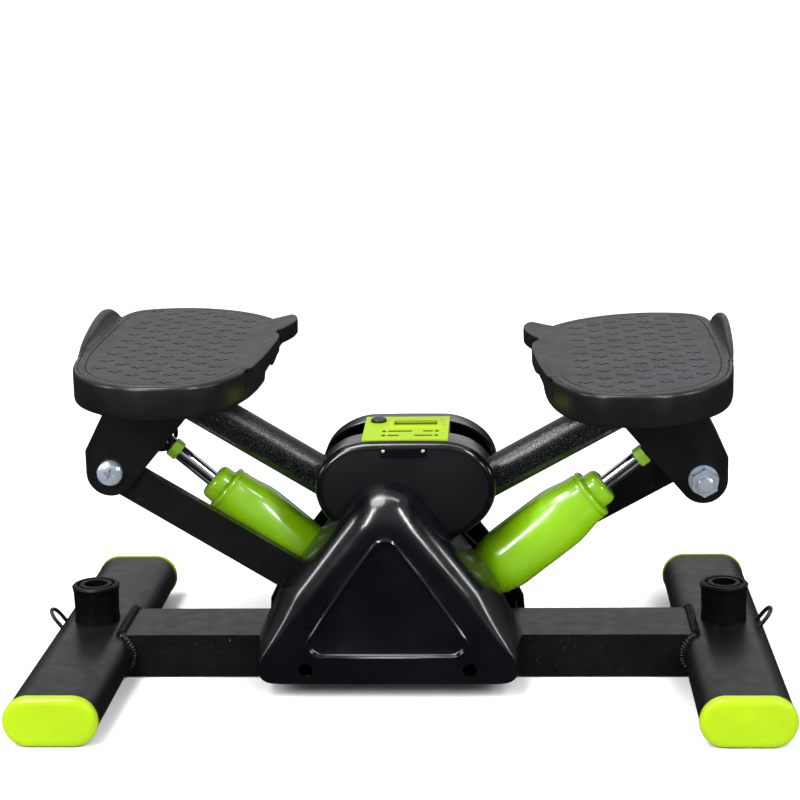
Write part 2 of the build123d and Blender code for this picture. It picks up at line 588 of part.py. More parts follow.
def make_damper(name, side):
    foot = side.at(side.damper_foot)
    aim = side.along(side.damper_angle)
    inner = SHELL_WALL
    outer = [
        (TAIL_START, DAMPER_TAIL_RADIUS - 3), (TAIL_START + 2, DAMPER_TAIL_RADIUS), (BODY_START, DAMPER_RADIUS),
        (FLARE_START, DAMPER_RADIUS), (FLARE_START + 12, DAMPER_RADIUS - 0.6),
        (FLARE_START + 24, SHOULDER_RADIUS + 0.6), (SHOULDER_START, SHOULDER_RADIUS),
        (SHOULDER_START + 1, SHOULDER_RADIUS - 1), (SHOULDER_START + 2, SHOULDER_RADIUS),
        (NECK_START, SHOULDER_RADIUS - 1), (NECK_START + 1, NECK_RADIUS), (NECK_END, NECK_RADIUS),
    ]
    sleeve = NECK_RADIUS - inner
    with BuildPart() as shell:
        add(turned(foot, aim, outer).part)
        add(
            turned(foot, aim, [
                (TAIL_START, sleeve), (TAIL_START + 4, sleeve), (TAIL_START + 5, DAMPER_TAIL_RADIUS - 1.5 * inner),
                (BODY_START, DAMPER_RADIUS - inner), (FLARE_START + 8, DAMPER_RADIUS - 1.5 * inner),
                (FLARE_START + 22, SHOULDER_RADIUS - inner), (SHOULDER_START - 2, SHOULDER_RADIUS - 1.8 * inner),
                (SHOULDER_START, sleeve), (NECK_END, sleeve),
            ]).part,
            mode=Mode.SUBTRACT,
        )
    finish(shell, f"{name}_damper_body")

    barrel = sleeve - FIT_GAP
    core = barrel - CYLINDER_WALL
    with BuildPart() as cylinder:
        add(turned(foot, aim, [(TAIL_START - 6, barrel), (NECK_END - 1, barrel)]).part)
        add(turned(foot, aim, [(TAIL_START, core), (NECK_END - 12, core)]).part, mode=Mode.SUBTRACT)
        bore = turned(foot, aim, [(NECK_END - 20, ROD_RADIUS + RUNNING), (NECK_END, ROD_RADIUS + RUNNING)])
        add(bore.part, mode=Mode.SUBTRACT)
        cylinder_y(side.flat(side.damper_foot), -EYE_HALF, EYE_HALF, EYE_RADIUS)
        add(turned(foot, aim, [(0, 9), (TAIL_START - 6, 9)]).part)
        cylinder_y(side.flat(side.damper_foot), -EYE_HALF, EYE_HALF, AXLE_RADIUS + RUNNING, Mode.SUBTRACT)
    finish(cylinder, f"{name}_damper_cylinder")

    pin_outline = [(-TOWER_OUTSIDE, AXLE_RADIUS), (TOWER_OUTSIDE, AXLE_RADIUS)]
    foot_pin = turned(foot, (0, 1, 0), pin_outline)
    spacers = [
        bored(foot, (0, end, 0), [(EYE_HALF + 0.3, 9), (TOWER_INSIDE, 9)], AXLE_RADIUS + RUNNING)
        for end in (-1, 1)
    ]

    rod_start = PISTON_START + PISTON_HEIGHT
    tip = side.damper_length + ROD_TIP
    with BuildPart() as rod:
        add(turned(foot, aim, [(PISTON_START - 4, ROD_RADIUS - 2), (rod_start - 1, ROD_RADIUS - 2),
                               (rod_start, ROD_RADIUS), (tip - 2, ROD_RADIUS), (tip, ROD_RADIUS - 2)]).part)
        with BuildSketch(front_plane(ROD_RADIUS)):
            with Locations(side.flat(side.rod_pin)):
                Circle(ROD_PIN_RADIUS + RUNNING)
        extrude(amount=2 * ROD_RADIUS, mode=Mode.SUBTRACT)
    pin_outline = [(-ROD_PIN_HALF, ROD_PIN_RADIUS), (ROD_PIN_HALF, ROD_PIN_RADIUS)]
    group(f"{name}_damper_rod", [rod, turned(side.at(side.rod_pin), (0, 1, 0), pin_outline)])
    piston_outline = [(PISTON_START, core - RUNNING), (rod_start - 1, core - RUNNING)]
    finish(bored(foot, aim, piston_outline, ROD_RADIUS - 2 + RUNNING), f"{name}_piston")
    start = COLLAR_START + side.reach
    collar_outline = [(start, COLLAR_RADIUS - 1), (start + 1, COLLAR_RADIUS),
                      (start + COLLAR_HEIGHT - 1, COLLAR_RADIUS), (start + COLLAR_HEIGHT, COLLAR_RADIUS - 1)]
    finish(bored(foot, aim, collar_outline, ROD_RADIUS + RUNNING), f"{name}_rod_collar")
    return [foot_pin, *spacers]


# ---- pedals ----
def pedal_points(side, inset):
    """The outline's points, each moved in at right angles to the line between its neighbours."""
    points = []
    count = len(PEDAL_OUTLINE)
    for index, (out, y) in enumerate(PEDAL_OUTLINE):
        before = PEDAL_OUTLINE[index - 1]
        after = PEDAL_OUTLINE[(index + 1) % count]
        run = (after[0] - before[0], after[1] - before[1])
        length = hypot(*run)
        moved = (out - inset * run[1] / length + side.shift[0], y + inset * run[0] / length)
        points.append((side.sign * moved[0], moved[1]))
    return points


def pedal_profile(side, height, inset=0.0):
    """Plan outline of a pedal at a height, drawn in by an inset."""
    with BuildSketch(Plane.XY.offset(height)) as profile:
        with BuildLine():
            Spline(*pedal_points(side, inset), periodic=True)
        make_face()
    return profile.sketch


def make_pedal(name, side):
    rise = side.shift[1]
    bottom = TRAY_BOTTOM + rise
    top = TRAY_TOP + rise
    sink = top - TREAD_SUNK
    xs = [out for out, _ in PEDAL_OUTLINE]
    inner = min(xs)
    outer = max(xs)
    with BuildPart() as tray:
        extrude(pedal_profile(side, bottom), amount=top - bottom)
        fillet(tray.faces().sort_by(Axis.Z)[-1].edges(), 2.0)
        extrude(pedal_profile(side, bottom, TRAY_WALL), amount=top - bottom - TRAY_FLOOR, mode=Mode.SUBTRACT)
        extrude(pedal_profile(side, sink, TREAD_INSET), amount=TREAD_SUNK, mode=Mode.SUBTRACT)
        notch = [(inner - 20, -1), (inner + 40, -1), (inner + 40, ARM_NOTCH_HEIGHT), (inner - 20, ARM_NOTCH_HEIGHT)]
        notch = [(out, bottom + up) for out, up in notch]
        slab_y([side.flat(point) for point in notch], -ARM_NOTCH_HALF, ARM_NOTCH_HALF, Mode.SUBTRACT)
        with BuildSketch(Plane.XY.offset(top - TRAY_FLOOR)):
            with Locations(*pedal_screw_points(side)):
                Circle(PEDAL_SCREW_RADIUS + RUNNING)
        extrude(amount=TRAY_FLOOR - TREAD_SUNK - 1, mode=Mode.SUBTRACT)
        add(make_fins(side, top, inner, outer).part)
    finish(tray, f"{name}_pedal_tray")

    with BuildPart() as tread:
        extrude(pedal_profile(side, sink, TREAD_INSET + FIT_GAP), amount=TREAD_THICKNESS)
    finish(tread, f"{name}_pedal_tread")

    seat = top - TRAY_FLOOR - BRACKET_PLATE
    shank = BRACKET_PLATE + TRAY_FLOOR - TREAD_SUNK - 1.2
    screw_outline = [(-3, 4), (-2, 5.5), (0, 5.5), (0, PEDAL_SCREW_RADIUS), (shank, PEDAL_SCREW_RADIUS)]
    screws = [turned((x, y, seat), (0, 0, 1), screw_outline) for x, y in pedal_screw_points(side)]
    group(f"{name}_pedal_screws", screws)


def make_fins(side, top, inner, outer):
    """The raised fin on the outer edge and the raised wing on the inner edge of a pedal."""
    root = top - 3
    shapes = (
        (outer - 30, outer + 20, [(-48, root), (0, top + 7), (70, top + FIN_HEIGHT), (100, top + FIN_HEIGHT),
                                  (128, top + 6), (136, root)]),
        (inner - 20, inner + 24, [(-40, root), (0, top + 6), (60, top + FIN_HEIGHT - 6),
                                  (96, top + FIN_HEIGHT - 4), (104, top + 8), (108, root)]),
    )
    with BuildPart() as fins:
        for low, high, ramp in shapes:
            with BuildPart(mode=Mode.PRIVATE) as fin:
                with BuildSketch(Plane.XY.offset(root)):
                    add(pedal_profile(side, 0))
                    add(pedal_profile(side, 0, FIN_THICKNESS), mode=Mode.SUBTRACT)
                extrude(amount=FIN_HEIGHT + 4)
                low_x, high_x = sorted((side.sign * (low + side.shift[0]), side.sign * (high + side.shift[0])))
                with BuildSketch(Plane.YZ.offset(low_x)):
                    with BuildLine():
                        Polyline(*ramp, close=True)
                    make_face()
                extrude(amount=high_x - low_x, mode=Mode.INTERSECT)
            add(fin.part)
    return fins


# ---- covers ----
def cover_points(half_points, x, apex=None):
    right = [(x + out, z) for out, z in half_points]
    left = [(x - out, z) for out, z in reversed(half_points)]
    middle = [(x, apex)] if apex else []
    return right + middle + left


def make_lower_cover(name, way, face):
    """Half shell; way is -1 for the front half and +1 for the rear half."""
    depth = face - COVER_RIM
    start = way * COVER_RIM if way < 0 else face
    with BuildPart() as cover:
        with BuildSketch(front_plane(start)):
            with BuildLine():
                Polyline(*cover_points(COVER_HALF_OUTLINE, COVER_X, COVER_APEX), close=True)
            make_face()
            corners = vertices().sort_by(Axis.Y)
            fillet(corners[-1], COVER_APEX_RADIUS)
            fillet(vertices().sort_by(Axis.Y)[:2], COVER_CORNER_RADIUS)
        extrude(amount=depth)
        outside = cover.faces().sort_by(Axis.Y)[0 if way < 0 else -1]
        fillet(outside.edges(), COVER_EDGE)
        back = cover.faces().sort_by(Axis.Y)[-1 if way < 0 else 0]
        offset(amount=-COVER_WALL, openings=back)
        triangle = [(COVER_X - PANEL_HALF, PANEL_BOTTOM), (COVER_X + PANEL_HALF, PANEL_BOTTOM), (COVER_X, PANEL_TOP)]
        low, high = sorted((way * (face - PANEL_DEPTH), way * (face + 1)))
        with BuildSketch(front_plane(high)):
            with BuildLine():
                Polyline(*triangle, close=True)
            make_face()
            fillet(vertices(), 9)
        extrude(amount=high - low, mode=Mode.SUBTRACT)
        for _, sign in SIDES:
            point = (COVER_X + sign * SCREW_SPREAD, SCREW_HEIGHT)
            low, high = sorted((way * CROSS_DEPTH / 2, way * (face - COVER_WALL / 2)))
            cylinder_y(point, low, high, COVER_BOSS_RADIUS)
            low, high = sorted((way * (CROSS_DEPTH / 2 + SCREW_SEAT), way * (face + 1)))
            cylinder_y(point, low, high, COVER_HOLE_RADIUS, Mode.SUBTRACT)
            low, high = sorted((way * CROSS_DEPTH / 2, way * face))
            cylinder_y(point, low, high, COVER_SCREW_RADIUS + RUNNING, Mode.SUBTRACT)
    finish(cover, name)


def cover_screw(way, sign):
    seat = (COVER_X + sign * SCREW_SPREAD, way * (CROSS_DEPTH / 2 + SCREW_SEAT), SCREW_HEIGHT)
    outline = [(-SCREW_SEAT - CROSS_WALL, COVER_SCREW_RADIUS), (0, COVER_SCREW_RADIUS), (0, 4.5), (2.5, 4.5),
               (3.5, 3)]
    return turned(seat, (0, way, 0), outline)


def make_hood(name, way, face, top):
    """Half of the upper cover; the arms swing through the open slot between the halves."""
    depth = face - ARM_SLOT
    start = -ARM_SLOT if way < 0 else face
    with BuildPart() as hood:
        with BuildSketch(front_plane(start)):
            with BuildLine():
                Polyline(*cover_points(HOOD_HALF_OUTLINE + [(HOOD_SHOULDER, top)], HOOD_X), close=True)
            make_face()
            fillet(vertices().sort_by(Axis.Y)[2:], HOOD_CORNER)
        extrude(amount=depth)
        outside = hood.faces().sort_by(Axis.Y)[0 if way < 0 else -1]
        fillet(outside.edges(), HOOD_EDGE)
        back = hood.faces().sort_by(Axis.Y)[-1 if way < 0 else 0]
        offset(amount=-COVER_WALL, openings=back)
        bottom = HOOD_HALF_OUTLINE[0][1]
        mouth = [(HOOD_X - HOOD_MOUTH, bottom - 5), (HOOD_X + HOOD_MOUTH, bottom - 5),
                 (HOOD_X + HOOD_MOUTH, bottom + 6), (HOOD_X - HOOD_MOUTH, bottom + 6)]
        low, high = sorted((way * (ARM_SLOT - 1), way * (face - COVER_WALL)))
        slab_y(mouth, low, high, Mode.SUBTRACT)
        low, high = sorted((way * (ARM_SLOT - 1), way * (DAMPER_RADIUS + DAMPER_GAP)))
        for _, sign in SIDES:
            inner = HOOD_X + sign * (HOOD_MOUTH - 1)
            outer = HOOD_X + sign * 2 * HOOD_MOUTH
            window = [
                (inner, bottom - 5), (outer, bottom - 5), (outer, DAMPER_SLOT_TOP), (inner, DAMPER_SLOT_TOP),
            ]
            slab_y(window, low, high, Mode.SUBTRACT)
        low, high = sorted((way * TOWER_OUTSIDE, way * (face - COVER_WALL / 2)))
        cylinder_y((0, TOWER_TOP - 5), low, high, 5)
        if way < 0:
            display_block(Mode.SUBTRACT)
    finish(hood, name)


# ---- display ----
def display_section(grow=0.0):
    return [
        (DISPLAY_FRONT, DISPLAY_FRONT_HEIGHT + grow), (DISPLAY_BACK, DISPLAY_BACK_HEIGHT + grow),
        (DISPLAY_BACK, DISPLAY_BACK_HEIGHT - DISPLAY_THICKNESS),
        (DISPLAY_FRONT, DISPLAY_FRONT_HEIGHT - DISPLAY_THICKNESS),
    ]


def display_block(mode):
    """Inside a part: the room that the display case takes, open upwards."""
    with BuildSketch(Plane.YZ.offset(HOOD_X - DISPLAY_WIDTH / 2)) as section:
        with BuildLine():
            Polyline(*display_section(20 if mode == Mode.SUBTRACT else 0), close=True)
        make_face()
    extrude(section.sketch, amount=DISPLAY_WIDTH, mode=mode)


def panel_plane():
    run = DISPLAY_BACK - DISPLAY_FRONT
    rise = DISPLAY_BACK_HEIGHT - DISPLAY_FRONT_HEIGHT
    middle = (HOOD_X, (DISPLAY_FRONT + DISPLAY_BACK) / 2, (DISPLAY_FRONT_HEIGHT + DISPLAY_BACK_HEIGHT) / 2)
    return Plane(origin=middle, x_dir=(1, 0, 0), z_dir=(0, -rise, run))


def make_display():
    panel = panel_plane()
    depth = DISPLAY_THICKNESS - DISPLAY_WALL
    with BuildPart() as case:
        display_block(Mode.ADD)
        with BuildSketch(panel.offset(-DISPLAY_WALL)):
            Rectangle(DISPLAY_WIDTH - 2 * DISPLAY_WALL, DISPLAY_BACK - DISPLAY_FRONT - 2 * DISPLAY_WALL - 1)
        extrude(amount=-depth - 5, mode=Mode.SUBTRACT)
        with BuildSketch(panel.offset(1)):
            with Locations(WINDOW_CENTRE):
                Rectangle(*WINDOW)
            with Locations(BUTTON_CENTRE):
                Circle(BUTTON_RADIUS + BUTTON_GAP)
        extrude(amount=-DISPLAY_WALL - 2, mode=Mode.SUBTRACT)
    finish(case, "display_case")

    with BuildPart() as glass:
        with BuildSketch(panel.offset(-WINDOW_SINK)):
            with Locations(WINDOW_CENTRE):
                Rectangle(*WINDOW)
        extrude(amount=WINDOW_SINK - DISPLAY_WALL)
        with BuildSketch(panel.offset(-DISPLAY_WALL)):
            with Locations(WINDOW_CENTRE):
                Rectangle(WINDOW[0] + 6, WINDOW[1] + 6)
        extrude(amount=-GLASS)
    finish(glass, "display_window")

    with BuildPart() as button:
        with BuildSketch(panel.offset(BUTTON_PROUD)):
            with Locations(BUTTON_CENTRE):
                Circle(BUTTON_RADIUS)
        extrude(amount=-BUTTON_PROUD - DISPLAY_WALL - BUTTON_FLANGE)
        fillet(button.faces().sort_by(Axis(panel.origin, panel.z_dir))[-1].edges(), 0.8)
        with BuildSketch(panel.offset(-DISPLAY_WALL - 0.1)):
            with Locations(BUTTON_CENTRE):
                Circle(BUTTON_RADIUS + 1.5)
        extrude(amount=-BUTTON_FLANGE)
    finish(button, "display_button")

    board_top = -DISPLAY_WALL - BUTTON_FLANGE - BUTTON_TRAVEL - 0.6
    with BuildPart() as board:
        with BuildSketch(panel.offset(board_top)):
            Rectangle(DISPLAY_WIDTH - 2 * DISPLAY_WALL, BOARD_DEPTH)
        extrude(amount=-BOARD_THICKNESS)
    finish(board, "display_board")
    with BuildPart() as cell:
        with BuildSketch(panel.offset(board_top - BOARD_THICKNESS)):
            with Locations((10, -5)):
                Circle(CELL_RADIUS)
        extrude(amount=-CELL_HEIGHT)
    finish(cell, "display_cell")


def make_tie_bar():
    """Bar between the two arm tabs, which makes one pedal rise as the other sinks."""
    front = -(TOWER_INSIDE - 1 - FLANGE) + TAB_THICKNESS + 0.5
    height = ARM_PIVOT_HEIGHT + TAB_HEIGHT
    with BuildPart() as bar:
        with BuildSketch(front_plane(front + TIE_THICKNESS)):
            with Locations((0, height)):
                SlotCenterToCenter(2 * ARM_PIVOT_OUT, 2 * TIE_RADIUS)
        extrude(amount=TIE_THICKNESS)
        for _, sign in SIDES:
            cylinder_y((sign * ARM_PIVOT_OUT, height), front, front + TIE_THICKNESS, TIE_PIN_RADIUS, Mode.SUBTRACT)
    outline = [(front - TAB_THICKNESS - 1, TIE_PIN_RADIUS), (front + TIE_THICKNESS, TIE_PIN_RADIUS)]
    pins = [turned((sign * ARM_PIVOT_OUT, 0, height), (0, 1, 0), outline) for _, sign in SIDES]
    group("tie_bar", [bar, *pins])


def main():
    os.makedirs("parts", exist_ok=True)
    left = Side(-1)
    right = Side(1)
    for name, sign in SIDES:
        make_foot(name, sign)
    cover_screws = [cover_screw(way, sign) for way in (-1, 1) for _, sign in SIDES]
    group("base_screws", [bumper_screw(sign) for _, sign in SIDES] + cover_screws)
    make_cross_tube()
    make_tower("tower_plate_front", -TOWER_OUTSIDE, -TOWER_INSIDE, left)
    make_tower("tower_plate_rear", TOWER_INSIDE, TOWER_OUTSIDE, right)
    arm_axles = []
    link_axles = []
    damper_pins = []
    for name, side in (("left", left), ("right", right)):
        arm_axles.append(make_arm(name, side))
        link_axles.append(make_link(name, side))
        make_bracket(name, side)
        damper_pins.extend(make_damper(name, side))
        make_pedal(name, side)
    group("arm_axles", arm_axles)
    group("link_axles", link_axles)
    group("damper_pins", damper_pins)
    make_tie_bar()
    make_lower_cover("front_cover", -1, COVER_FRONT)
    make_lower_cover("rear_cover", 1, COVER_REAR)
    make_hood("upper_cover_front", -1, HOOD_FRONT, HOOD_FRONT_TOP)
    make_hood("upper_cover_rear", 1, HOOD_REAR, HOOD_REAR_TOP)
    make_display()


main()
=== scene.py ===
import json
import math

import bpy
from mathutils import Matrix, Vector


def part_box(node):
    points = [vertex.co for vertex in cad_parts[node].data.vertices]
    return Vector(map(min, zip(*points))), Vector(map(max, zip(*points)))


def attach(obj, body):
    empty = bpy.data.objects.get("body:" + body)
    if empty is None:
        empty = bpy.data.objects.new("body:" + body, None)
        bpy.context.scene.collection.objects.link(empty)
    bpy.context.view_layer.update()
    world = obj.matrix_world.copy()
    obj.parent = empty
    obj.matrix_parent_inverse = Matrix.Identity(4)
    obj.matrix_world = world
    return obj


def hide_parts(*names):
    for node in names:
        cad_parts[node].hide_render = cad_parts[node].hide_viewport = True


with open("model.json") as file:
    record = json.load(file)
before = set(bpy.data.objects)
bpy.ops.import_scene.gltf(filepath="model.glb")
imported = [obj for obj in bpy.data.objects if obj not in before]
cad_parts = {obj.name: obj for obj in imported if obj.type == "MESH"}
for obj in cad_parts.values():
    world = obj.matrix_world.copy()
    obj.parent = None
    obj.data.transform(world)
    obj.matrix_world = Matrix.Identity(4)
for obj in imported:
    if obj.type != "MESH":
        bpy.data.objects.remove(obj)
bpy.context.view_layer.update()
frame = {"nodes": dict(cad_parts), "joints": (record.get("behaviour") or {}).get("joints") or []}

SIDES = (("left", -1), ("right", 1))
SQUARE = ((-1, -1), (1, -1), (1, 1), (-1, 1))

# Pedal outline in metres, as (outward, along the foot), and the edges raised from it.
PEDAL_OUTLINE = [
    (0.167, -0.166), (0.205, -0.157), (0.238, -0.118), (0.252, -0.060), (0.256, 0.030), (0.255, 0.130),
    (0.243, 0.171), (0.205, 0.182), (0.165, 0.170), (0.130, 0.139), (0.112, 0.100), (0.107, 0.020),
    (0.108, -0.067), (0.118, -0.122), (0.138, -0.156),
]
PEDAL_MIDDLE = 0.18
RIM_TOP = 0.0238

# Heights of the fin and wing above the rim, and how far each stands out from it, evenly spaced along its span.
FIN_SPAN = (-0.040, 0.136)
FIN_HEIGHTS = [0.0, 0.0035, 0.0065, 0.0090, 0.0112, 0.0128, 0.0135, 0.0105, 0.0]
FIN_LEAN = [0.0, 0.0014, 0.0026, 0.0036, 0.0044, 0.0050, 0.0050, 0.0036, 0.0]
WING_SPAN = (-0.105, 0.118)
WING_HEIGHTS = [
    0.0, 0.0010, 0.0026, 0.0046, 0.0062, 0.0070, 0.0070, 0.0064, 0.0062, 0.0068, 0.0072, 0.0064, 0.0,
]
WING_CURL = [
    0.0, 0.0008, 0.0022, 0.0040, 0.0056, 0.0064, 0.0052, 0.0010, 0.0070, 0.0130, 0.0150, 0.0120, 0.0010,
]

# Grooves of the tread: distance between columns and between rows, half width, and the V's depth.
DASH_STEP = 0.0147
DASH_ROW = 0.028
DASH_HALF = 0.0012
DASH_DIP = 0.0042
DASH_CENTRE = (0.182, 0.006)
DASH_MARGIN = 0.0125
TREAD_LINE = (0.0092, 0.0099)

# Covers: right-hand sides of their outlines as (across, up), listed upwards.
COVER_HALF = [(0.109, 0.008), (0.107, 0.038), (0.084, 0.086)]
COVER_APEX = 0.1945
FLAT_HALF = [(0.102, 0.014), (0.099, 0.032), (0.068, 0.066)]
FLAT_APEX = 0.139
COVER_CENTRE_HEIGHT = 0.075
TRIANGLE_HALF = 0.0695
TRIANGLE_BOTTOM = 0.0355
TRIANGLE_TOP = 0.134
COVER_SCREW = (0.064, 0.024)
COVER_SCREW_RADIUS = 0.0055
HOOD_HALF = [
    (0.0200, 0.1220), (0.0400, 0.1225), (0.0565, 0.1325), (0.0660, 0.1440), (0.0705, 0.1575),
    (0.0695, 0.1715), (0.0625, 0.1840), (0.0505, 0.1935),
]
HOOD_EDGE = 0.0065
HOOD_WALL = 0.0025
HOOD_MOUTH_HALF = 0.038
HOOD_MOUTH_TOP = 0.128
DAMPER_WINDOW_TOP = 0.168
DAMPER_WINDOW_REACH = 0.028
BELOW_HOOD = 0.115

# Weld beads: radius of the bar and how much it swells and shrinks.
WELD_RADIUS = 0.0032
WELD_RIPPLE = 0.0003

# Camera: lens in millimetres, place in metres, angles in radians.
CAMERA_LENS = 89.3
CAMERA_PLACE = (0.0876, -1.5448, 0.5560)
YAW, PITCH, ROLL = -0.0584, 0.2132, -0.0207

# Display: drop of its top from back to front, and half the window's size.
DISPLAY_RISE = 0.0045
WINDOW_HALF = (0.0170, 0.0060)

# Damper housing: its outline along the rod from the base pin, in millimetres, as (along, radius).
DAMPER_OUTLINE = [
    (30, 13.4), (30, 18), (31, 20.2), (33, 21.6), (48, 25.0), (52, 25.5), (98, 25.5), (106, 25.3),
    (113, 24.6), (119, 23.4), (125, 22.0), (130, 21.2), (134.6, 21.0), (135.6, 20.8), (136.2, 20.0),
    (136.9, 19.9), (137.5, 20.7), (138.6, 21.0), (140.0, 20.6), (140.9, 19.6), (141.2, 17.6),
    (141.4, 16.0), (142.2, 15.2), (146, 15.0), (149.2, 14.8), (151.2, 14.0), (152.4, 12.6), (153, 10.8),
    (153, 7.2), (151.6, 7.2), (151.6, 13.4),
]


# ---- materials ----
FINISHES = {}


def srgb(code):
    """Linear colour, with alpha, of a six-digit code."""
    values = [int(code[i:i + 2], 16) / 255 for i in (0, 2, 4)]
    return [v / 12.92 if v <= 0.04045 else ((v + 0.055) / 1.055) ** 2.4 for v in values] + [1.0]


def material(name, dark, light, rough, metallic=0.0, coat=0.0, specular=0.5, mottle=30.0, grain=900.0,
             bump=0.1, depth=0.0002, specks=None):
    """Adds a finish whose colour, roughness and relief all vary across the surface.

    Specks are (colour, scale, threshold, strength).
    """
    mat = bpy.data.materials.new(name)
    mat.use_nodes = True
    add = mat.node_tree.nodes.new
    join = mat.node_tree.links.new
    shader = mat.node_tree.nodes["Principled BSDF"]
    shader.inputs["Metallic"].default_value = metallic
    shader.inputs["Coat Weight"].default_value = coat
    shader.inputs["Coat Roughness"].default_value = 0.05
    shader.inputs["Specular IOR Level"].default_value = specular
    place = add("ShaderNodeTexCoord")

    cloud = add("ShaderNodeTexNoise")
    cloud.inputs["Scale"].default_value = mottle
    cloud.inputs["Detail"].default_value = 5
    join(place.outputs["Object"], cloud.inputs["Vector"])
    ramp = add("ShaderNodeValToRGB")
    ramp.color_ramp.elements[0].position = 0.32
    ramp.color_ramp.elements[0].color = srgb(dark)
    ramp.color_ramp.elements[1].position = 0.68
    ramp.color_ramp.elements[1].color = srgb(light)
    join(cloud.outputs["Fac"], ramp.inputs["Fac"])
    colour = ramp.outputs["Color"]

    if specks:
        fleck, scale, threshold, strength = specks
        dots = add("ShaderNodeTexNoise")
        dots.inputs["Scale"].default_value = scale
        dots.inputs["Detail"].default_value = 1
        join(place.outputs["Object"], dots.inputs["Vector"])
        share = add("ShaderNodeMapRange")
        share.inputs["From Min"].default_value = threshold
        share.inputs["From Max"].default_value = threshold + 0.04
        share.inputs["To Max"].default_value = strength
        join(dots.outputs["Fac"], share.inputs["Value"])
        mix = add("ShaderNodeMix")
        mix.data_type = "RGBA"
        mix.inputs["B"].default_value = srgb(fleck)
        join(share.outputs["Result"], mix.inputs["Factor"])
        join(colour, mix.inputs["A"])
        colour = mix.outputs["Result"]
    join(colour, shader.inputs["Base Color"])

    sheen = add("ShaderNodeTexNoise")
    sheen.inputs["Scale"].default_value = mottle * 3
    sheen.inputs["Detail"].default_value = 6
    join(place.outputs["Object"], sheen.inputs["Vector"])
    spread = add("ShaderNodeMapRange")
    spread.inputs["From Min"].default_value = 0.3
    spread.inputs["From Max"].default_value = 0.7
    spread.inputs["To Min"].default_value = rough[0]
    spread.inputs["To Max"].default_value = rough[1]
    join(sheen.outputs["Fac"], spread.inputs["Value"])
    join(spread.outputs["Result"], shader.inputs["Roughness"])

    fine = add("ShaderNodeTexNoise")
    fine.inputs["Scale"].default_value = grain
    fine.inputs["Detail"].default_value = 3
    join(place.outputs["Object"], fine.inputs["Vector"])
    relief = add("ShaderNodeBump")
    relief.inputs["Strength"].default_value = bump
    relief.inputs["Distance"].default_value = depth
    join(fine.outputs["Fac"], relief.inputs["Height"])
    join(relief.outputs["Normal"], shader.inputs["Normal"])
    FINISHES[name] = mat


material("lime_plastic", "819E03", "88A504", (0.36, 0.44), coat=0.35, specular=0.12, grain=500,
         bump=0.04)
material("satin_black_paint", "060607", "0B0B0D", (0.32, 0.42), specular=0.32, grain=1600, bump=0.12,
         specks=("8A8C90", 900, 0.76, 0.5))
material("textured_black_paint", "08090B", "0C0D10", (0.2, 0.26), specular=0.5, grain=1500, bump=0.45,
         depth=0.0003, specks=("7F848C", 1700, 0.66, 0.4))
material("bumper_rubber", "030304", "060607", (0.36, 0.48), specular=0.12, grain=1500, bump=0.2)
material("zinc_steel", "BAC8D6", "CDD9E4", (0.17, 0.24), metallic=0.75, mottle=60, grain=2500, bump=0.1)
material("plain_steel", "6E7174", "97999C", (0.3, 0.42), metallic=1.0, mottle=90, grain=2200, bump=0.1)
material("bush_plastic", "1A1A1B", "232325", (0.4, 0.5), grain=1800)
material("damper_green", "6E9F05", "77A706", (0.2, 0.28), coat=0.6, specular=0.5, grain=300, bump=0.03)
material("chrome", "D9DCDF", "EEF0F2", (0.04, 0.09), metallic=1.0, mottle=60, grain=1200, bump=0.02)
material("collar_olive", "6A960C", "78A810", (0.34, 0.44), specular=0.4, grain=1500)
material("pedal_plastic", "08090B", "0D0E10", (0.28, 0.38), specular=0.35, grain=2000, bump=0.15)
material("tread_plastic", "1E1F21", "28292C", (0.46, 0.6), specular=0.35, grain=2400, bump=0.35,
         specks=("4A4B4F", 400, 0.6, 0.35))
material("gloss_black_plastic", "030406", "07080B", (0.14, 0.22), specular=0.5, grain=260, bump=0.02,
         specks=("5A5C60", 1100, 0.8, 0.4))
material("matte_black_plastic", "08080A", "0C0C0E", (0.5, 0.62), specular=0.1, grain=2600, bump=0.3)
material("display_glass", "1C1E1D", "282A28", (0.08, 0.14), coat=0.4, mottle=60, bump=0.01)
material("button_plastic", "0B0B0C", "141416", (0.3, 0.4), specular=0.4, grain=1800)
# The groove finish is darker than the tread around it: painted shade for the walls of the cut grooves.
material("groove", "060607", "0C0C0D", (0.6, 0.7), specular=0.1, grain=2400)
material("circuit_board", "12502A", "1B6B38", (0.35, 0.5), mottle=200)

# The finish of each CAD node: the first part of a name that fits.
NODE_SLOTS = (
    ("upper_cover", "gloss_black_plastic"), ("front_cover", "gloss_black_plastic"),
    ("rear_cover", "gloss_black_plastic"), ("_cap", "lime_plastic"), ("display_case", "lime_plastic"),
    ("display_window", "display_glass"), ("display_button", "button_plastic"),
    ("display_board", "circuit_board"), ("display_cell", "plain_steel"), ("arm_tube", "textured_black_paint"),
    ("bumper", "bumper_rubber"), ("bracket_bolt", "zinc_steel"), ("bracket_nut", "zinc_steel"),
    ("bushes", "bush_plastic"), ("damper_body", "damper_green"), ("damper_rod", "chrome"),
    ("rod_collar", "collar_olive"), ("damper_pins", "plain_steel"), ("axle", "plain_steel"),
    ("piston", "plain_steel"), ("damper_cylinder", "plain_steel"), ("screws", "plain_steel"),
    ("pedal_tray", "pedal_plastic"), ("pedal_tread", "tread_plastic"), ("", "satin_black_paint"),
)


def slot_of(node):
    return next(slot for part, slot in NODE_SLOTS if part in node)


for node, obj in frame["nodes"].items():
    if obj.data.materials:
        obj.material_slots[0].material = FINISHES[slot_of(node)]
    else:
        obj.data.materials.append(FINISHES[slot_of(node)])


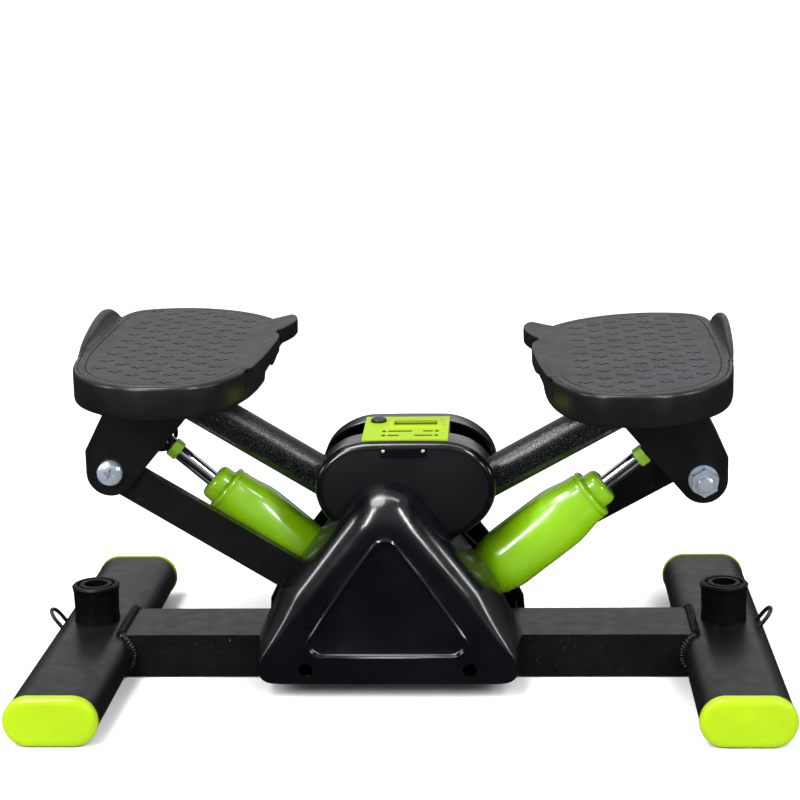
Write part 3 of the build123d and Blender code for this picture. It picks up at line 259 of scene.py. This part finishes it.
# ---- mesh helpers ----
def piece(name, verts, faces, body, slot, smooth=True):
    """A mesh object with its finish, which rides on a body if one is named."""
    mesh = bpy.data.meshes.new(name)
    mesh.from_pydata([tuple(v) for v in verts], [], faces)
    mesh.validate()
    mesh.update()
    obj = bpy.data.objects.new(name, mesh)
    bpy.context.collection.objects.link(obj)
    bpy.context.view_layer.objects.active = obj
    for other in bpy.context.selected_objects:
        other.select_set(False)
    obj.select_set(True)
    bpy.ops.object.mode_set(mode="EDIT")
    bpy.ops.mesh.select_all(action="SELECT")
    bpy.ops.mesh.normals_make_consistent(inside=False)
    bpy.ops.object.mode_set(mode="OBJECT")
    if smooth:
        bpy.ops.object.shade_smooth_by_angle(angle=math.radians(38))
    mesh.materials.append(FINISHES[slot])
    if body:
        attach(obj, body)
    return obj


def skin(rings, cap_start=True, cap_end=True, closed=True):
    """Verts and faces of a skin over rings that all have the same number of points."""
    count = len(rings[0])
    verts = [v for ring in rings for v in ring]
    faces = []
    for r in range(len(rings) - 1):
        for i in range(count if closed else count - 1):
            j = (i + 1) % count
            faces.append((r * count + i, r * count + j, (r + 1) * count + j, (r + 1) * count + i))
    if cap_start:
        faces.append(tuple(reversed(range(count))))
    if cap_end:
        faces.append(tuple((len(rings) - 1) * count + i for i in range(count)))
    return verts, faces


def join_skins(skins):
    """Several skins as the verts and faces of one."""
    verts = []
    faces = []
    for more_verts, more_faces in skins:
        faces += [tuple(i + len(verts) for i in face) for face in more_faces]
        verts += more_verts
    return verts, faces


def turned(origin, axis, outline, steps=48, hollow=False):
    """A skin turned about an axis; outline lists (distance along it, radius)."""
    spin = axis.to_track_quat("Z", "Y").to_matrix()
    rings = []
    for along, radius in outline:
        rings.append([
            origin + spin @ Vector((radius * math.cos(2 * math.pi * k / steps),
                                    radius * math.sin(2 * math.pi * k / steps), along))
            for k in range(steps)
        ])
    if hollow:
        return skin(rings + [rings[0]], False, False)
    return skin(rings)


def tube(points, radius, steps=10, closed=False, ripple=0.0, ripples=0):
    """A round bar along a line of points; a ripple makes it look like a weld bead."""
    rings = []
    count = len(points)
    for i, point in enumerate(points):
        before = points[i - 1] if closed or i else point
        after = points[(i + 1) % count] if closed or i < count - 1 else point
        way = (after - before).normalized()
        spin = way.to_track_quat("Z", "Y").to_matrix()
        size = radius + ripple * math.sin(2 * math.pi * ripples * i / count)
        rings.append([
            point + spin @ Vector((size * math.cos(2 * math.pi * k / steps),
                                   size * math.sin(2 * math.pi * k / steps), 0))
            for k in range(steps)
        ])
    if closed:
        rings.append(rings[0])
    return skin(rings, not closed, not closed)


def cut(obj, cutter):
    """Takes a cutter's shape out of a piece, and keeps the result as the piece's mesh."""
    change = obj.modifiers.new("cut", "BOOLEAN")
    change.operation = "DIFFERENCE"
    change.solver = "EXACT"
    change.material_mode = "TRANSFER"
    change.object = cutter
    bpy.context.view_layer.objects.active = obj
    bpy.ops.object.modifier_apply(modifier="cut")
    bpy.data.objects.remove(cutter)


def between_points(a, b, c, d, f):
    """Smooth curve from b to c, with a before them and d after, f from 0 to 1."""
    return 0.5 * (2 * b + (c - a) * f + (2 * a - 5 * b + 4 * c - d) * f * f
                  + (3 * b - a - 3 * c + d) * f ** 3)


def spline(values, t):
    """Smooth curve through evenly spaced values, t from 0 to 1."""
    place = min(max(t, 0.0), 1.0) * (len(values) - 1)
    i = min(int(place), len(values) - 2)
    before = values[max(i - 1, 0)]
    after = values[min(i + 2, len(values) - 1)]
    return between_points(before, values[i], values[i + 1], after, place - i)


def loop(points, per_span):
    """Smooth closed curve through a list of points."""
    made = []
    count = len(points)
    for i in range(count):
        around = [Vector(points[(i + k) % count]) for k in (-1, 0, 1, 2)]
        made += [between_points(*around, step / per_span) for step in range(per_span)]
    return made


def inward_normals(outline):
    """Normals of an anticlockwise outline, pointing into it."""
    normals = []
    for i in range(len(outline)):
        run = outline[(i + 1) % len(outline)] - outline[i - 1]
        normals.append(Vector((-run.y, run.x)).normalized())
    return normals


def blend_step(low, high, value):
    """Smooth step from 0 at low to 1 at high."""
    t = min(max((value - low) / (high - low), 0.0), 1.0)
    return t * t * (3 - 2 * t)


def joint(name):
    return next(row for row in frame["joints"] if row["name"] == name)


# ---- pedals ----
POINTS = loop(PEDAL_OUTLINE, 12)
NORMALS = [-normal for normal in inward_normals(POINTS)]


def edge_at(y, outer):
    """Point and outward normal of the outline at a distance along the foot."""
    side = [(p, n) for p, n in zip(POINTS, NORMALS) if (p.x > PEDAL_MIDDLE) == outer]
    side.sort(key=lambda item: item[0].y)
    for (p, n), (q, m) in zip(side, side[1:]):
        if p.y <= y <= q.y:
            f = (y - p.y) / max(q.y - p.y, 1e-6)
            return p.lerp(q, f), n.lerp(m, f).normalized()
    return side[0]


def fin_section(out, height):
    """Section of the outer fin: a thin blade that leans outward, with a crease along its foot."""
    thick = 0.0018 + 0.0022 * min(height / 0.006, 1.0)
    return [
        (-0.0003, -0.004), (0.0002 + 0.3 * out, 0.3 * height), (0.72 * out, 0.72 * height),
        (out, 0.94 * height), (out - 0.2 * thick, height), (out - 0.75 * thick, height),
        (out - thick, 0.93 * height), (0.7 * out - thick, 0.68 * height), (0.2 * out - thick, 0.22 * height),
        (-thick - 0.0006, 0.0004), (-thick - 0.0022, 0.0008), (-thick - 0.0030, 0.0002),
        (-thick - 0.0030, -0.004),
    ]


def wing_section(out, height):
    """Section of the inner wing: a hollow curve that flares outward, with its rim turned down."""
    drop = 0.0125 * min(height / 0.005, 1.0)
    return [
        (-0.0006, -0.0145), (0.5 * out, height - drop - 0.001), (out - 0.0004, height - drop),
        (out + 0.0004, height - drop + 0.001), (out + 0.0006, height - 0.0022),
        (out + 0.0002, height - 0.0006), (out - 0.0010, height), (out - 0.0030, height - 0.0004),
        (0.62 * out - 0.0050, 0.70 * height), (0.25 * out - 0.0090, 0.36 * height),
        (-0.0140, 0.10 * height), (-0.0190, 0.0002), (-0.0190, -0.004),
    ]


# The points of a wing section that face up, towards the foot.
WING_FACE = slice(5, 12)


def raised_edge(outer, span, heights, lean, section):
    """Rings of a fin or wing that grows out of the pedal's rim; lean gives how far its top stands out."""
    rings = []
    steps = 60
    for k in range(steps + 1):
        t = k / steps
        point, normal = edge_at(span[0] + (span[1] - span[0]) * t, outer)
        shape = section(spline(lean, t), max(spline(heights, t), 0.0))
        rings.append([(point.x + normal.x * o, point.y + normal.y * o, up) for o, up in shape])
    return rings


def pedal_place(name, sign):
    """Function that puts a point (outward, along the foot, above the tray's underside) on one pedal."""
    low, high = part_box(f"{name}_pedal_tray")
    far = -low.x if sign < 0 else high.x
    shift = far - max(p.x for p in POINTS)

    def place(out, y, up):
        return Vector((sign * (out + shift), y, low.z + up))

    return place


def make_wing_face(name, place, wing):
    """Thin lining of the wing's upper side, in the tread's softer plastic."""
    rings = []
    for section in wing[2:-1]:
        upper = [place(out, y, RIM_TOP + 0.0005 + up) for out, y, up in section[WING_FACE]]
        lower = [place(out, y, RIM_TOP - 0.0003 + up) for out, y, up in section[WING_FACE]]
        rings.append(upper + lower[::-1])
    verts, faces = skin(rings)
    piece(f"{name}_pedal_wing", verts, faces, f"{name}_pedal", "tread_plastic")


def make_pedal_shell(name, place, raised):
    """Tray with a rounded rim, its fin and wing, and a shallow arch under its inner edge."""

    def ring(inset, up, under=0.0):
        made = []
        for p, n in zip(POINTS, NORMALS):
            q = p - n * inset
            inner = blend_step(0.165, 0.125, p.x)
            taper = 0.002 * inner * (1 - blend_step(0.0, 0.022, up))
            arch = under * 0.008 * blend_step(0.16, 0.14, p.x) * blend_step(0.029, 0.024, abs(p.y))
            made.append(place(q.x + taper, q.y, up + arch))
        return made

    walls = [
        ring(0.0036, 0.0190), ring(0.0036, 0.0020, 1), ring(0.0032, 0.0006, 1), ring(0.0022, 0.0, 1),
        ring(0.0012, 0.0002, 1), ring(0.0004, 0.0012, 1), ring(0.0, 0.0032, 1), ring(0.0, 0.0120),
        ring(0.0, 0.0212), ring(0.0003, 0.0227), ring(0.0010, 0.0236), ring(0.0020, 0.0240),
        ring(0.0032, 0.0238), ring(0.0036, 0.0232), ring(0.0037, 0.0220),
    ]
    parts = [skin(walls)]
    for rings in raised:
        parts.append(skin([[place(out, y, RIM_TOP + up) for out, y, up in ring] for ring in rings]))
    verts, faces = join_skins(parts)
    shell = piece(f"{name}_pedal_shell", verts, faces, f"{name}_pedal", "pedal_plastic")
    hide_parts(f"{name}_pedal_tray")


def inside_margin(x, y):
    """Whether a dash centred here stays clear of the outline groove."""
    for p, n in zip(POINTS, NORMALS):
        for end in (-0.006, 0.006):
            away = Vector((x + end, y)) - p
            if away.length < 0.03 and away.dot(n) > -DASH_MARGIN:
                return False
    beside = [p.x for p in POINTS if abs(p.y - y) < 0.01]
    return bool(beside) and min(beside) < x < max(beside)


def dash(place, x, y):
    """Cutter for one groove: a dash with a shallow V in its middle."""
    rings = []
    for dx, dy in ((-0.0056, 0.0), (-0.0020, 0.0), (0.0, -DASH_DIP), (0.0020, 0.0), (0.0056, 0.0)):
        low = y + dy - DASH_HALF
        high = y + dy + DASH_HALF
        rings.append([
            place(x + dx, low, 0.0252), place(x + dx, high, 0.0252),
            place(x + dx, high, 0.0235), place(x + dx, low, 0.0235),
        ])
    return skin(rings)


def make_pedal_mat(name, place):
    """Tread with staggered dashes and a groove along its edge cut into it; the cut walls take the darker
    groove finish as painted shade.
    """

    def ring(inset, up):
        return [place(p.x - n.x * inset, p.y - n.y * inset, up) for p, n in zip(POINTS, NORMALS)]

    verts, faces = skin([ring(0.0038, 0.0220), ring(0.0038, 0.0238), ring(0.0043, 0.0243)])
    mat = piece(f"{name}_pedal_mat", verts, faces, None, "tread_plastic", smooth=False)
    dashes = []
    for column in range(-5, 6):
        for row in range(-8, 9):
            x = DASH_CENTRE[0] + column * DASH_STEP
            y = DASH_CENTRE[1] + row * DASH_ROW + (DASH_ROW / 2 if column % 2 else 0)
            if inside_margin(x, y):
                dashes.append(dash(place, x, y))
    near, far = TREAD_LINE
    line = [ring(near, 0.0250), ring(near, 0.0238), ring(far, 0.0238), ring(far, 0.0250)]
    for verts, faces in (join_skins(dashes), skin(line + [line[0]], False, False)):
        # The cutters carry the darker groove finish onto the cut walls: painted shade inside the grooves.
        cut(mat, piece("cutter", verts, faces, None, "groove", smooth=False))
    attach(mat, f"{name}_pedal")
    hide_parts(f"{name}_pedal_tread")


for name, sign in SIDES:
    place = pedal_place(name, sign)
    fin = raised_edge(True, FIN_SPAN, FIN_HEIGHTS, FIN_LEAN, fin_section)
    wing = raised_edge(False, WING_SPAN, WING_HEIGHTS, WING_CURL, wing_section)
    make_wing_face(name, place, wing)
    make_pedal_shell(name, place, (fin, wing))
    make_pedal_mat(name, place)


# ---- welds between the feet and the cross tube ----
def make_welds():
    """Rippled beads along the front, back and top of each joint."""
    low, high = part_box("cross_tube")
    beads = []
    for name, sign in SIDES:
        foot_low, foot_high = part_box(f"{name}_foot_tube")
        radius = (foot_high.z - foot_low.z) / 2
        centre_z = (foot_high.z + foot_low.z) / 2
        middle = (foot_low.x + foot_high.x) / 2
        flat = (foot_high.x - foot_low.x) / 2 - radius

        def touch(z):
            return middle - sign * (flat + math.sqrt(max(radius ** 2 - (z - centre_z) ** 2, 0)))

        for face in (low.y, high.y):
            out = -0.0008 if face < 0 else 0.0008
            points = []
            for k in range(61):
                z = low.z + 0.002 + (high.z - low.z - 0.002) * k / 60
                points.append(Vector((touch(z) - sign * 0.0006, face + out, z)))
            beads.append(tube(points, WELD_RADIUS, ripple=WELD_RIPPLE, ripples=15))
        points = []
        for k in range(81):
            y = low.y + (high.y - low.y) * k / 80
            points.append(Vector((touch(high.z) - sign * 0.0006, y, high.z + 0.0006)))
        beads.append(tube(points, WELD_RADIUS, ripple=WELD_RIPPLE, ripples=24))
    verts, faces = join_skins(beads)
    piece("weld_beads", verts, faces, "base", "satin_black_paint")


make_welds()


# ---- display panel ----
def panel_point(u, v, up):
    """A point on the sloping display panel: u across, v back from its front edge, up off it."""
    low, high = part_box("display_case")
    run = high.y - low.y
    slope = Vector((0, run, DISPLAY_RISE)).normalized()
    normal = Vector((0, -DISPLAY_RISE, run)).normalized()
    front = Vector(((low.x + high.x) / 2, low.y, high.z - DISPLAY_RISE))
    return front + Vector((u, 0, 0)) + slope * v + normal * up


def block(corners, low, high, chamfer):
    """Skin of a small raised block on the panel with chamfered edges."""
    (u0, v0), (u1, v1) = corners
    rings = []
    for inset, up in ((0, low), (0, high - chamfer), (chamfer, high)):
        rings.append([
            panel_point(u0 + inset, v0 + inset, up), panel_point(u1 - inset, v0 + inset, up),
            panel_point(u1 - inset, v1 - inset, up), panel_point(u0 + inset, v1 - inset, up),
        ])
    return skin(rings)


def make_display_marks():
    """Four dots, each with a plain bar where the display names a reading."""
    marks = []
    for u, v, bar in ((-0.0172, 0.0215, 0.0185), (-0.0172, 0.0105, 0.009), (0.0243, 0.0215, -0.0075),
                      (0.0243, 0.0105, -0.014)):
        centre = panel_point(u, v, -0.0002)
        normal = panel_point(0, 0, 1) - panel_point(0, 0, 0)
        marks.append(turned(centre, normal, [(0, 0.0016), (0.0004, 0.0016), (0.0005, 0.0012)], 20))
        start = u + math.copysign(0.0032, bar)
        ends = sorted((start, start + bar))
        marks.append(block(((ends[0], v - 0.0009), (ends[1], v + 0.0009)), -0.0002, 0.0003, 0.0001))
    verts, faces = join_skins(marks)
    piece("display_marks", verts, faces, "base", "matte_black_plastic")


def make_display_bezel():
    """Raised frame with sloping sides around the window."""
    low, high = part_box("display_window")
    case_low, case_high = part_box("display_case")
    centre_u = (low.x + high.x) / 2 - (case_low.x + case_high.x) / 2
    centre_v = (low.y + high.y) / 2 - case_low.y
    rings = []
    for grow, up in ((0.0002, 0.0), (0.0002, 0.0012), (0.0012, 0.0016), (0.0040, 0.0014), (0.0058, 0.0)):
        half_u = WINDOW_HALF[0] + grow
        half_v = WINDOW_HALF[1] + grow
        rings.append([panel_point(centre_u + a * half_u, centre_v + b * half_v, up - 0.0002)
                      for a, b in SQUARE])
    verts, faces = skin(rings + [rings[0]], False, False)
    piece("display_bezel", verts, faces, "base", "lime_plastic")


make_display_marks()
make_display_bezel()


# ---- covers ----
def rounded(points, radii, steps=10):
    """A closed outline with its corners rounded."""
    made = []
    count = len(points)
    for i, corner in enumerate(points):
        radius = radii[i] if isinstance(radii, (list, tuple)) else radii
        corner = Vector(corner)
        a = (Vector(points[i - 1]) - corner).normalized()
        b = (Vector(points[(i + 1) % count]) - corner).normalized()
        half = a.angle(b) / 2
        reach = radius / math.tan(half)
        centre = corner + (a + b).normalized() * (radius / math.sin(half))
        start = corner + a * reach - centre
        end = corner + b * reach - centre
        turn = start.angle_signed(end)
        for s in range(steps + 1):
            angle = -turn * s / steps
            made.append(centre + Matrix.Rotation(angle, 2) @ start)
    return made


def reach(outline, centre, count=300):
    """How far an outline lies from a centre along evenly spaced rays."""
    made = []
    for k in range(count):
        way = Vector((math.cos(2 * math.pi * k / count), math.sin(2 * math.pi * k / count)))
        far = 0.0
        for p, q in zip(outline, outline[1:] + outline[:1]):
            run = q - p
            cross = way.x * run.y - way.y * run.x
            if abs(cross) < 1e-12:
                continue
            off = p - centre
            t = (off.x * run.y - off.y * run.x) / cross
            s = (off.x * way.y - off.y * way.x) / cross
            if 0 <= s <= 1 and t > far:
                far = t
        made.append(far)
    return made


def mirrored(half, middle, *apex):
    """An anticlockwise outline from its right-hand side, about a middle; apex points go between."""
    left = [(middle - x, z) for x, z in reversed(half)]
    return [(middle + x, z) for x, z in half] + list(apex) + left


def triangle(middle):
    return mirrored([(TRIANGLE_HALF, TRIANGLE_BOTTOM)], middle, (middle, TRIANGLE_TOP))


def make_front_cover():
    """Domed cover: broad rounded shoulders, a sunk rounded triangle and two screw holes."""
    low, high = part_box("front_cover")
    middle = (low.x + high.x) / 2
    wide = (high.x - low.x) / 2 / COVER_HALF[0][0]
    points = mirrored([(x * wide, z) for x, z in COVER_HALF], middle, (middle, COVER_APEX))
    flat_points = mirrored(FLAT_HALF, middle, (middle, FLAT_APEX))
    centre = Vector((middle, COVER_CENTRE_HEIGHT))
    silhouette = reach(rounded(points, [0.018, 0.03, 0.05, 0.036, 0.05, 0.03, 0.018]), centre)
    flat = reach(rounded(flat_points, [0.010, 0.014, 0.03, 0.014, 0.03, 0.014, 0.010]), centre)
    panel = reach(rounded(triangle(middle), 0.010), centre)
    back = high.y
    face = low.y

    def ring(distances, y):
        count = len(distances)
        return [Vector((centre.x + d * math.cos(2 * math.pi * k / count), y,
                        centre.y + d * math.sin(2 * math.pi * k / count))) for k, d in enumerate(distances)]

    def between(f, shrink=0.0):
        return [b + (a - b) * f - shrink for a, b in zip(silhouette, flat)]

    rings = [ring(between(0.0, 0.004), face + 0.0045), ring(between(0.7, 0.004), face + 0.011),
             ring(between(1.0, 0.0035), back)]
    for k in range(13):
        angle = math.pi / 2 * k / 12
        rings.append(ring(between(math.cos(angle) ** 0.9), back + (face - back) * math.sin(angle) ** 0.9))
    for grow, sink in ((0.0040, 0.0), (0.0030, -0.0007), (0.0020, -0.0013), (0.0011, -0.0012),
                       (0.0004, -0.0004), (-0.0003, 0.0010), (-0.0010, 0.0020), (-0.0020, 0.0024)):
        rings.append(ring([d + grow for d in panel], face + sink))
    verts, faces = skin(rings)
    cover = piece("front_cover_shell", verts, faces, None, "gloss_black_plastic")
    for side in (-1, 1):
        spot = Vector((middle + side * COVER_SCREW[0], face - 0.004, COVER_SCREW[1]))
        outline = [(0, COVER_SCREW_RADIUS), (0.0205, COVER_SCREW_RADIUS)]
        verts, faces = turned(spot, Vector((0, 1, 0)), outline, 32)
        cut(cover, piece("cutter", verts, faces, None, "gloss_black_plastic", smooth=False))
    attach(cover, "base")
    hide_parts("front_cover")


def make_rear_rim():
    """Bead around the rear cover's triangle."""
    low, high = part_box("rear_cover")
    outline = rounded(triangle((low.x + high.x) / 2), 0.009)
    path = [Vector((p.x, high.y - 0.0005, p.y)) for p in outline]
    verts, faces = tube(path, 0.0011, closed=True)
    piece("rear_cover_rim", verts, faces, "base", "gloss_black_plastic")


def make_hood(name, way):
    """Thin hood with a softened front edge, open towards the arms and beside the dampers."""
    low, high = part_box(name)
    face, mouth = (low.y, high.y) if way < 0 else (high.y, low.y)
    middle = (low.x + high.x) / 2
    half = HOOD_HALF + [(0.0360, high.z - 0.0010), (0.0200, high.z)]
    outline = loop(mirrored(half, middle), 6)
    inward = inward_normals(outline)
    depth = abs(face - mouth)

    def ring(shift, deep):
        moved = [p + n * shift for p, n in zip(outline, inward)]
        return [Vector((p.x, face - way * deep, p.y)) for p in moved]

    rings = [
        ring(HOOD_EDGE, HOOD_WALL), ring(0.0032, 0.0045), ring(HOOD_WALL, 0.0070), ring(HOOD_WALL, depth),
        ring(0.0004, depth), ring(0.0, depth - 0.0004),
    ]
    for k in range(9):
        angle = math.pi / 2 * k / 8
        rings.append(ring(HOOD_EDGE * (1 - math.cos(angle)), HOOD_EDGE * (1 - math.sin(angle))))
    verts, faces = skin(rings)
    hood = piece(f"{name}_shell", verts, faces, None, "gloss_black_plastic")

    window = DAMPER_WINDOW_REACH - abs(mouth)
    openings = [
        (-HOOD_MOUTH_HALF, HOOD_MOUTH_HALF, HOOD_MOUTH_TOP, depth - 0.0035),
        (0.037, 0.090, DAMPER_WINDOW_TOP, window), (-0.090, -0.037, DAMPER_WINDOW_TOP, window),
    ]
    for x0, x1, top, into in openings:
        corners = ((x0, BELOW_HOOD), (x1, BELOW_HOOD), (x1, top), (x0, top))
        ends = (mouth + way * into, mouth - way * 0.002)
        rings = [[Vector((middle + x, y, z)) for x, z in corners] for y in ends]
        verts, faces = skin(rings)
        cut(hood, piece("cutter", verts, faces, None, "gloss_black_plastic", smooth=False))
    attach(hood, "base")
    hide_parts(name)

    verts, faces = skin([ring(0.0060, 0.001), ring(0.0062, -0.0001), ring(0.0068, -0.0003)])
    piece(f"{name}_face", verts, faces, "base", "matte_black_plastic")


make_front_cover()
make_rear_rim()
for name, way in (("upper_cover_front", -1), ("upper_cover_rear", 1)):
    make_hood(name, way)


# ---- dampers ----
def make_damper_shell(name, sign):
    """Damper housing with rounded shoulders, a ring groove and a domed neck."""
    axis = Vector(joint(f"{name}_rod_slide")["axis"]).normalized()
    foot = Vector(joint(f"{name}_damper_hinge")["pos_m"])
    if axis.dot(Vector((sign, 0, 1))) < 0:
        axis = -axis
    verts, faces = turned(foot, axis, [(a / 1000, r / 1000) for a, r in DAMPER_OUTLINE], 72, hollow=True)
    shell = piece(f"{name}_damper_shell", verts, faces, f"{name}_damper", "damper_green")
    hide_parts(f"{name}_damper_body")


for name, sign in SIDES:
    make_damper_shell(name, sign)


def make_latch():
    """Latch tongue under the front edge of the display."""
    low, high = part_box("display_case")
    middle = (low.x + high.x) / 2 - 0.001
    z = high.z - DISPLAY_RISE - 0.012
    hood_low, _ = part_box("upper_cover_front")
    y = hood_low.y
    outline = rounded([(middle - 0.017, z), (middle + 0.017, z), (middle + 0.0185, z + 0.0065),
                       (middle - 0.0185, z + 0.0065)], 0.001, 4)
    rings = [[Vector((p.x, y - up, p.y)) for p in outline] for up in (-0.001, 0.0016, 0.0018)]
    verts, faces = skin(rings)
    piece("display_latch", verts, faces, "base", "gloss_black_plastic")
    pins = [turned(Vector((middle + s * 0.0155, y - 0.0012, z + 0.0048)), Vector((0, -1, 0)),
                   [(0, 0.0013), (0.0012, 0.0012), (0.0016, 0.0006)], 16) for s in (-1, 1)]
    verts, faces = join_skins(pins)
    piece("latch_pins", verts, faces, "base", "zinc_steel")


make_latch()


# ---- bolt heads ----
def make_left_bolt():
    """Domed head with a cross recess."""
    low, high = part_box("left_bracket_bolt")
    x = (low.x + high.x) / 2
    z = (low.z + high.z) / 2
    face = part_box("left_pedal_bracket")[0].y
    head = low.y - face
    radius = (high.x - low.x) / 2
    outline = [(0.0, radius), (-head - 0.0035, radius), (-head - 0.0022, radius - 0.0006),
               (-head - 0.0010, radius - 0.0022), (-head - 0.0002, radius - 0.0045),
               (-head, radius - 0.0068)]
    shank = [(face - high.y, 0.0050), (face - high.y + 0.001, 0.0060), (-0.0001, 0.0060)]
    verts, faces = turned(Vector((x, face, z)), Vector((0, -1, 0)), shank + outline)
    bolt = piece("left_bolt", verts, faces, None, "zinc_steel")
    for turn in (0, 90):
        spin = Matrix.Rotation(math.radians(turn + 20), 3, "Y")
        rings = []
        for depth in (low.y - 0.002, low.y + 0.0028):
            wide = 0.0048 if depth < low.y else 0.0030
            rings.append([Vector((x, depth, z)) + spin @ Vector((a * wide, 0, b * 0.0009))
                          for a, b in SQUARE])
        verts, faces = skin(rings)
        cut(bolt, piece("cutter", verts, faces, None, "zinc_steel", smooth=False))
    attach(bolt, "left_pedal")
    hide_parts("left_bracket_bolt")


make_left_bolt()


# ---- rod collars ----
def make_collar(name):
    """Collar with six flats and rounded corners."""
    low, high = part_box(f"{name}_rod_collar")
    centre = (low + high) / 2
    axis = Vector(joint(f"{name}_rod_slide")["axis"]).normalized()
    spin = axis.to_track_quat("Z", "Y").to_matrix()
    rings = []
    for along, size in ((-0.0042, 0.0074), (-0.0036, 0.0082), (0.0036, 0.0082), (0.0042, 0.0074),
                        (0.0042, 0.0066), (-0.0042, 0.0066)):
        ring = []
        for k in range(72):
            angle = 2 * math.pi * k / 72
            flat = math.cos(math.pi / 6) / math.cos((angle % (math.pi / 3)) - math.pi / 6)
            radius = size if size < 0.007 else size * min(1.0, flat * 1.07)
            ring.append(centre + spin @ Vector((radius * math.cos(angle), radius * math.sin(angle), along)))
        rings.append(ring)
    verts, faces = skin(rings + [rings[0]], False, False)
    collar = piece(f"{name}_collar", verts, faces, f"{name}_rod", "collar_olive")
    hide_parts(f"{name}_rod_collar")


for name, _ in SIDES:
    make_collar(name)


# ---- floor, light and camera ----
def make_floor():
    """Plain white floor, which doesn't show in reflections."""
    bpy.ops.mesh.primitive_plane_add(size=600, location=(0, 0, -0.0002))
    floor = bpy.context.object
    floor.name = "floor"
    floor.visible_glossy = False
    mat = bpy.data.materials.new("floor")
    mat.use_nodes = True
    shader = mat.node_tree.nodes["Principled BSDF"]
    shader.inputs["Base Color"].default_value = (0.93, 0.93, 0.93, 1)
    shader.inputs["Roughness"].default_value = 1.0
    shader.inputs["Specular IOR Level"].default_value = 0.0
    floor.data.materials.append(mat)


def make_world():
    """Soft light from above that fades to dark at the horizon."""
    world = bpy.data.worlds.new("studio")
    bpy.context.scene.world = world
    world.use_nodes = True
    add = world.node_tree.nodes.new
    join = world.node_tree.links.new
    background = world.node_tree.nodes["Background"]
    place = add("ShaderNodeTexCoord")
    split = add("ShaderNodeSeparateXYZ")
    ramp = add("ShaderNodeValToRGB")
    ramp.color_ramp.elements[0].position = 0.0
    ramp.color_ramp.elements[0].color = (0.05, 0.05, 0.055, 1)
    ramp.color_ramp.elements[1].position = 0.5
    ramp.color_ramp.elements[1].color = (1, 1, 1, 1)
    join(place.outputs["Generated"], split.inputs["Vector"])
    join(split.outputs["Z"], ramp.inputs["Fac"])
    join(ramp.outputs["Color"], background.inputs["Color"])
    background.inputs["Strength"].default_value = 0.55


def lamp(name, energy, location, target, **settings):
    """A light that points at a target: an area of a given size, or a sun of a given angle."""
    data = bpy.data.lights.new(name, "SUN" if "angle" in settings else "AREA")
    data.energy = energy
    if "size_y" in settings:
        data.shape = "RECTANGLE"
    for key, value in settings.items():
        setattr(data, key, value)
    obj = bpy.data.objects.new(name, data)
    bpy.context.collection.objects.link(obj)
    obj.location = location
    obj.rotation_euler = (Vector(target) - Vector(location)).to_track_quat("-Z", "Y").to_euler()
    return obj


def make_lights():
    low_middle = (0, 0, 0.1)
    lamp("sun", 2.75, (-1.2, -0.9, 4.0), (0, 0, 0), angle=math.radians(30))
    lamp("left_box", 17.0, (-0.75, -1.0, 0.95), (-0.1, 0, 0.1), size=0.10, size_y=0.9)
    lamp("right_box", 15.0, (0.85, -0.9, 0.95), (0.1, 0, 0.1), size=0.10, size_y=0.9)
    lamp("top_box", 5.5, (0.0, -0.2, 1.4), low_middle, size=1.2, size_y=0.10)
    for side in (-1, 1):
        lamp(f"edge_{side}", 4.0, (side * 1.25, -0.2, 0.65), low_middle, size=0.12, size_y=0.5)
    fill = lamp("fill", 9.0, (0.1, -2.2, 0.9), (0, 0, 0.15), size=2.0, size_y=1.2)
    fill.visible_glossy = False
    back_box = lamp("back_box", 1.4, (0.0, 1.7, 0.62), low_middle, size=1.8, size_y=0.35)
    back_box.visible_camera = False


def make_camera():
    data = bpy.data.cameras.new("camera")
    data.sensor_width = 36.0
    data.lens = CAMERA_LENS
    data.clip_start = 0.05
    data.clip_end = 1000
    camera = bpy.data.objects.new("camera", data)
    bpy.context.collection.objects.link(camera)
    bpy.context.scene.camera = camera
    forward = Vector((math.sin(YAW) * math.cos(PITCH), math.cos(YAW) * math.cos(PITCH), -math.sin(PITCH)))
    right = Vector((math.cos(YAW), -math.sin(YAW), 0))
    up = right.cross(forward)
    across = right * math.cos(ROLL) + up * math.sin(ROLL)
    above = up * math.cos(ROLL) - right * math.sin(ROLL)
    turn = Matrix((across, above, -forward)).transposed()
    camera.matrix_world = Matrix.Translation(CAMERA_PLACE) @ turn.to_4x4()


make_floor()
make_world()
make_lights()
make_camera()

bpy.context.scene.view_settings.view_transform = "Standard"
bpy.context.scene.view_settings.look = "None"
